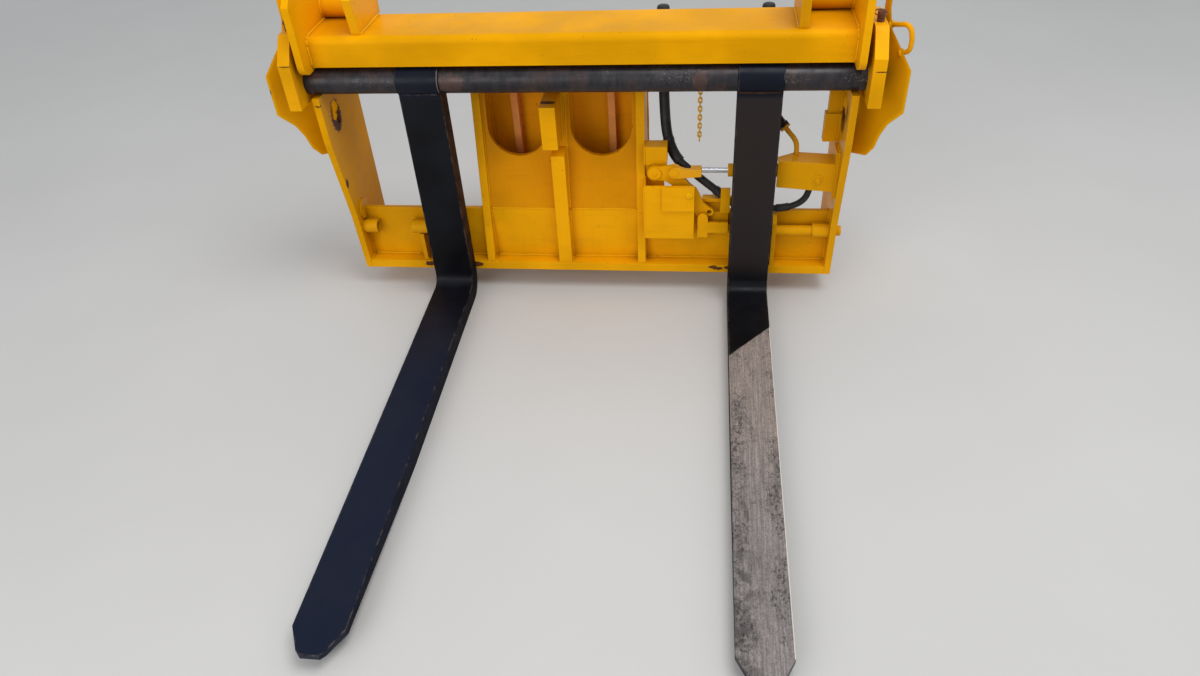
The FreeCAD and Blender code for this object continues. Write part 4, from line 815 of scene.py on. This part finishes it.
links = []
for i in range(CHAIN_LINKS):
    across = Vector((0, 1, 0) if i % 2 == 0 else (1, 0, 0))
    links.append(chain_link(at(CHAIN_X, CHAIN_Y, CHAIN_TOP - CHAIN_STEP * i), across))
links.append(swept([at(CHAIN_X, CHAIN_Y, z) for z in HANGER_ENDS], [HANGER_WIRE] * 2))
wire_look = plain_paint("wire_yellow_look", WIRE_YELLOW)
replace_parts(piece("chain_links", "frame", joined(links), look=wire_look), "chain")

# Hoses: route and radius in the drawing's millimetres, length in metres. Sleeves and guards are
# (from, to, radius), in millimetres along the hose, and a distance below 0 is from its end
HOSES = {
    "hose_lock": {
        "route": [(188, 197, 640), (188, 178, 440), (211, 122, 366), (260, 90, 333), (348, 77, 268)],
        "radius": 10.0, "length": 0.465,
        "sleeves": [(2, 40, 13.4), (252, 262, 14.2), (-34, -2, 12.0)],
        "guards": [(42, 253, 13.0), (261, 318, 13.4)]},
    "hose_ram": {
        "route": [(551, 67, 321.4), (551, 67, 284), (526, 70, 252), (476, 74, 238), (430, 76, 244),
                  (400, 76, 258), (370, 76, 259)],
        "radius": 8.0, "length": 0.235,
        "sleeves": [(0, 22, 9.8), (-28, -1, 9.8)],
        "guards": [(96, 128, 9.8)]},
    "hose_return": {
        "route": [(474, 110, 452), (451.8, 124.4, 473.6), (437, 160, 530), (431, 192, 588), (430, 197, 640)],
        "radius": 9.0, "length": 0.22,
        "sleeves": [(1, 28, 11.0), (-36, -3, 11.0)],
        "guards": [(60, 150, 11.0)]},
}
SLEEVE_POINTS, GUARD_POINTS, SLEEVE_SIDES, GROOVE = 25, 40, 20, 0.94


def hose_line(name, route, radius):
    curve = bpy.data.curves.new(name, "CURVE")
    curve.dimensions = "3D"
    spline = curve.splines.new("NURBS")
    spline.points.add(len(route) - 1)
    for point, place in zip(spline.points, route):
        point.co = (*at(*place), 1.0)
    spline.order_u = 3
    spline.use_endpoint_u = True
    curve.resolution_u = 16
    curve.bevel_depth = radius / 1000
    curve.bevel_resolution = 5
    curve.use_fill_caps = radius > 0
    thing = bpy.data.objects.new(name, curve)
    bpy.context.scene.collection.objects.link(thing)
    return thing


def line_points(route):
    """Points along a hose's smooth line, read from its spline."""
    thing = hose_line("line", route, 0.0)
    mesh = bpy.data.meshes.new_from_object(thing)
    points = [vertex.co.copy() for vertex in mesh.vertices]
    curve = thing.data
    bpy.data.objects.remove(thing)
    bpy.data.meshes.remove(mesh)
    bpy.data.curves.remove(curve)
    return points


def run_of(points, start, end, count):
    """Evenly spaced points from one distance along a line to another, in millimetres."""
    marks = [0.0]
    for a, b in zip(points, points[1:]):
        marks.append(marks[-1] + (b - a).length * 1000)
    start, end = (d + marks[-1] if d < 0 else d for d in (start, end))
    result = []
    for i in range(count):
        want = start + (end - start) * i / (count - 1)
        k = max(j for j in range(len(points) - 1) if marks[j] <= want)
        share = (want - marks[k]) / (marks[k + 1] - marks[k])
        result.append(points[k].lerp(points[k + 1], share))
    return result


def grooved_sleeve(line, start, end, radius):
    """A crimped sleeve: narrower at both ends and at each sixth of its points."""
    last = SLEEVE_POINTS - 1
    steps = [GROOVE if i % 6 == 5 or i in (0, last) else 1.0 for i in range(SLEEVE_POINTS)]
    radii = [radius / 1000 * step for step in steps]
    return swept(run_of(line, start, end, SLEEVE_POINTS), radii, SLEEVE_SIDES)


def smooth_guard(line, start, end, radius):
    return swept(run_of(line, start, end, GUARD_POINTS), [radius / 1000] * GUARD_POINTS, SLEEVE_SIDES)


for name, facts in HOSES.items():
    route, radius = facts["route"], facts["radius"]
    hose = hose_line(name + "_rubber", route, radius)
    hose.data.materials.append(SLOT_LOOK["rubber"])
    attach(hose, "frame")
    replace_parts(hose, name)
    line = line_points(route)
    sleeves = joined([grooved_sleeve(line, *span) for span in facts["sleeves"]])
    crimps = piece(name + "_sleeves", "frame", sleeves, "worn_steel")
    guards = joined([smooth_guard(line, *span) for span in facts["guards"]])
    cover = piece(name + "_guards", "frame", guards, "rubber")


# Small plates, caps and the last welds
def bevelled_plate(low, high, bevel):
    """A plate between two corners, its edges rounded."""
    mesh = bmesh.new()
    bmesh.ops.create_cube(mesh, size=1.0)
    for vertex in mesh.verts:
        vertex.co = Vector([(a + b) / 2 + (b - a) * c for a, b, c in zip(low, high, vertex.co)])
    bmesh.ops.bevel(mesh, geom=mesh.edges[:], offset=bevel, segments=3, affect="EDGES", profile=0.5)
    vertices = [vertex.co.copy() for vertex in mesh.verts]
    mesh.verts.index_update()
    faces = [tuple(vertex.index for vertex in face.verts) for face in mesh.faces]
    mesh.free()
    return vertices, faces


piece("anchor_plate", "frame", bevelled_plate(at(145.2, 97, 226), at(193, 103, 359), 0.0014), smooth=False)
# The grab handle's two ends, each with the way that its rod leaves the plate
HANDLE_ENDS = [((678, 51, 705), (33, -33, 11)), ((703, 26, 653), (14, -14, 7))]
rings = []
for place, way in HANDLE_ENDS:
    way = Vector(way).normalized()
    foot = at(*place) + way * 0.0012
    rings.append(circle_bead(foot, way, 0.0062, 0.0036))
    rings.append(circle_bead(foot + way * 0.002, way, 0.0048, 0.0026))
piece("weld_grab_handle", "frame", joined(rings))
PLUG_PROFILE = [(0, 0.0095), (0.0008, 0.0088), (0.001, 0.006)]
piece("cover_plug_weld", "frame", turned(at(257, 27, 299), TO_FRONT, PLUG_PROFILE))
CAP_PROFILE = [(0, 0.0125), (0, 0.0149), (0.0045, 0.0149), (0.0055, 0.0135), (0.0075, 0.0135),
               (0.0085, 0.012)]
for name, x in zip(SIDES, COUPLER_X):
    cap = turned(at(x, COUPLER_Y, COUPLER_TOP), (0, 0, 1), CAP_PROFILE)
    piece("coupler_cap_" + name, "frame", cap, "rubber")
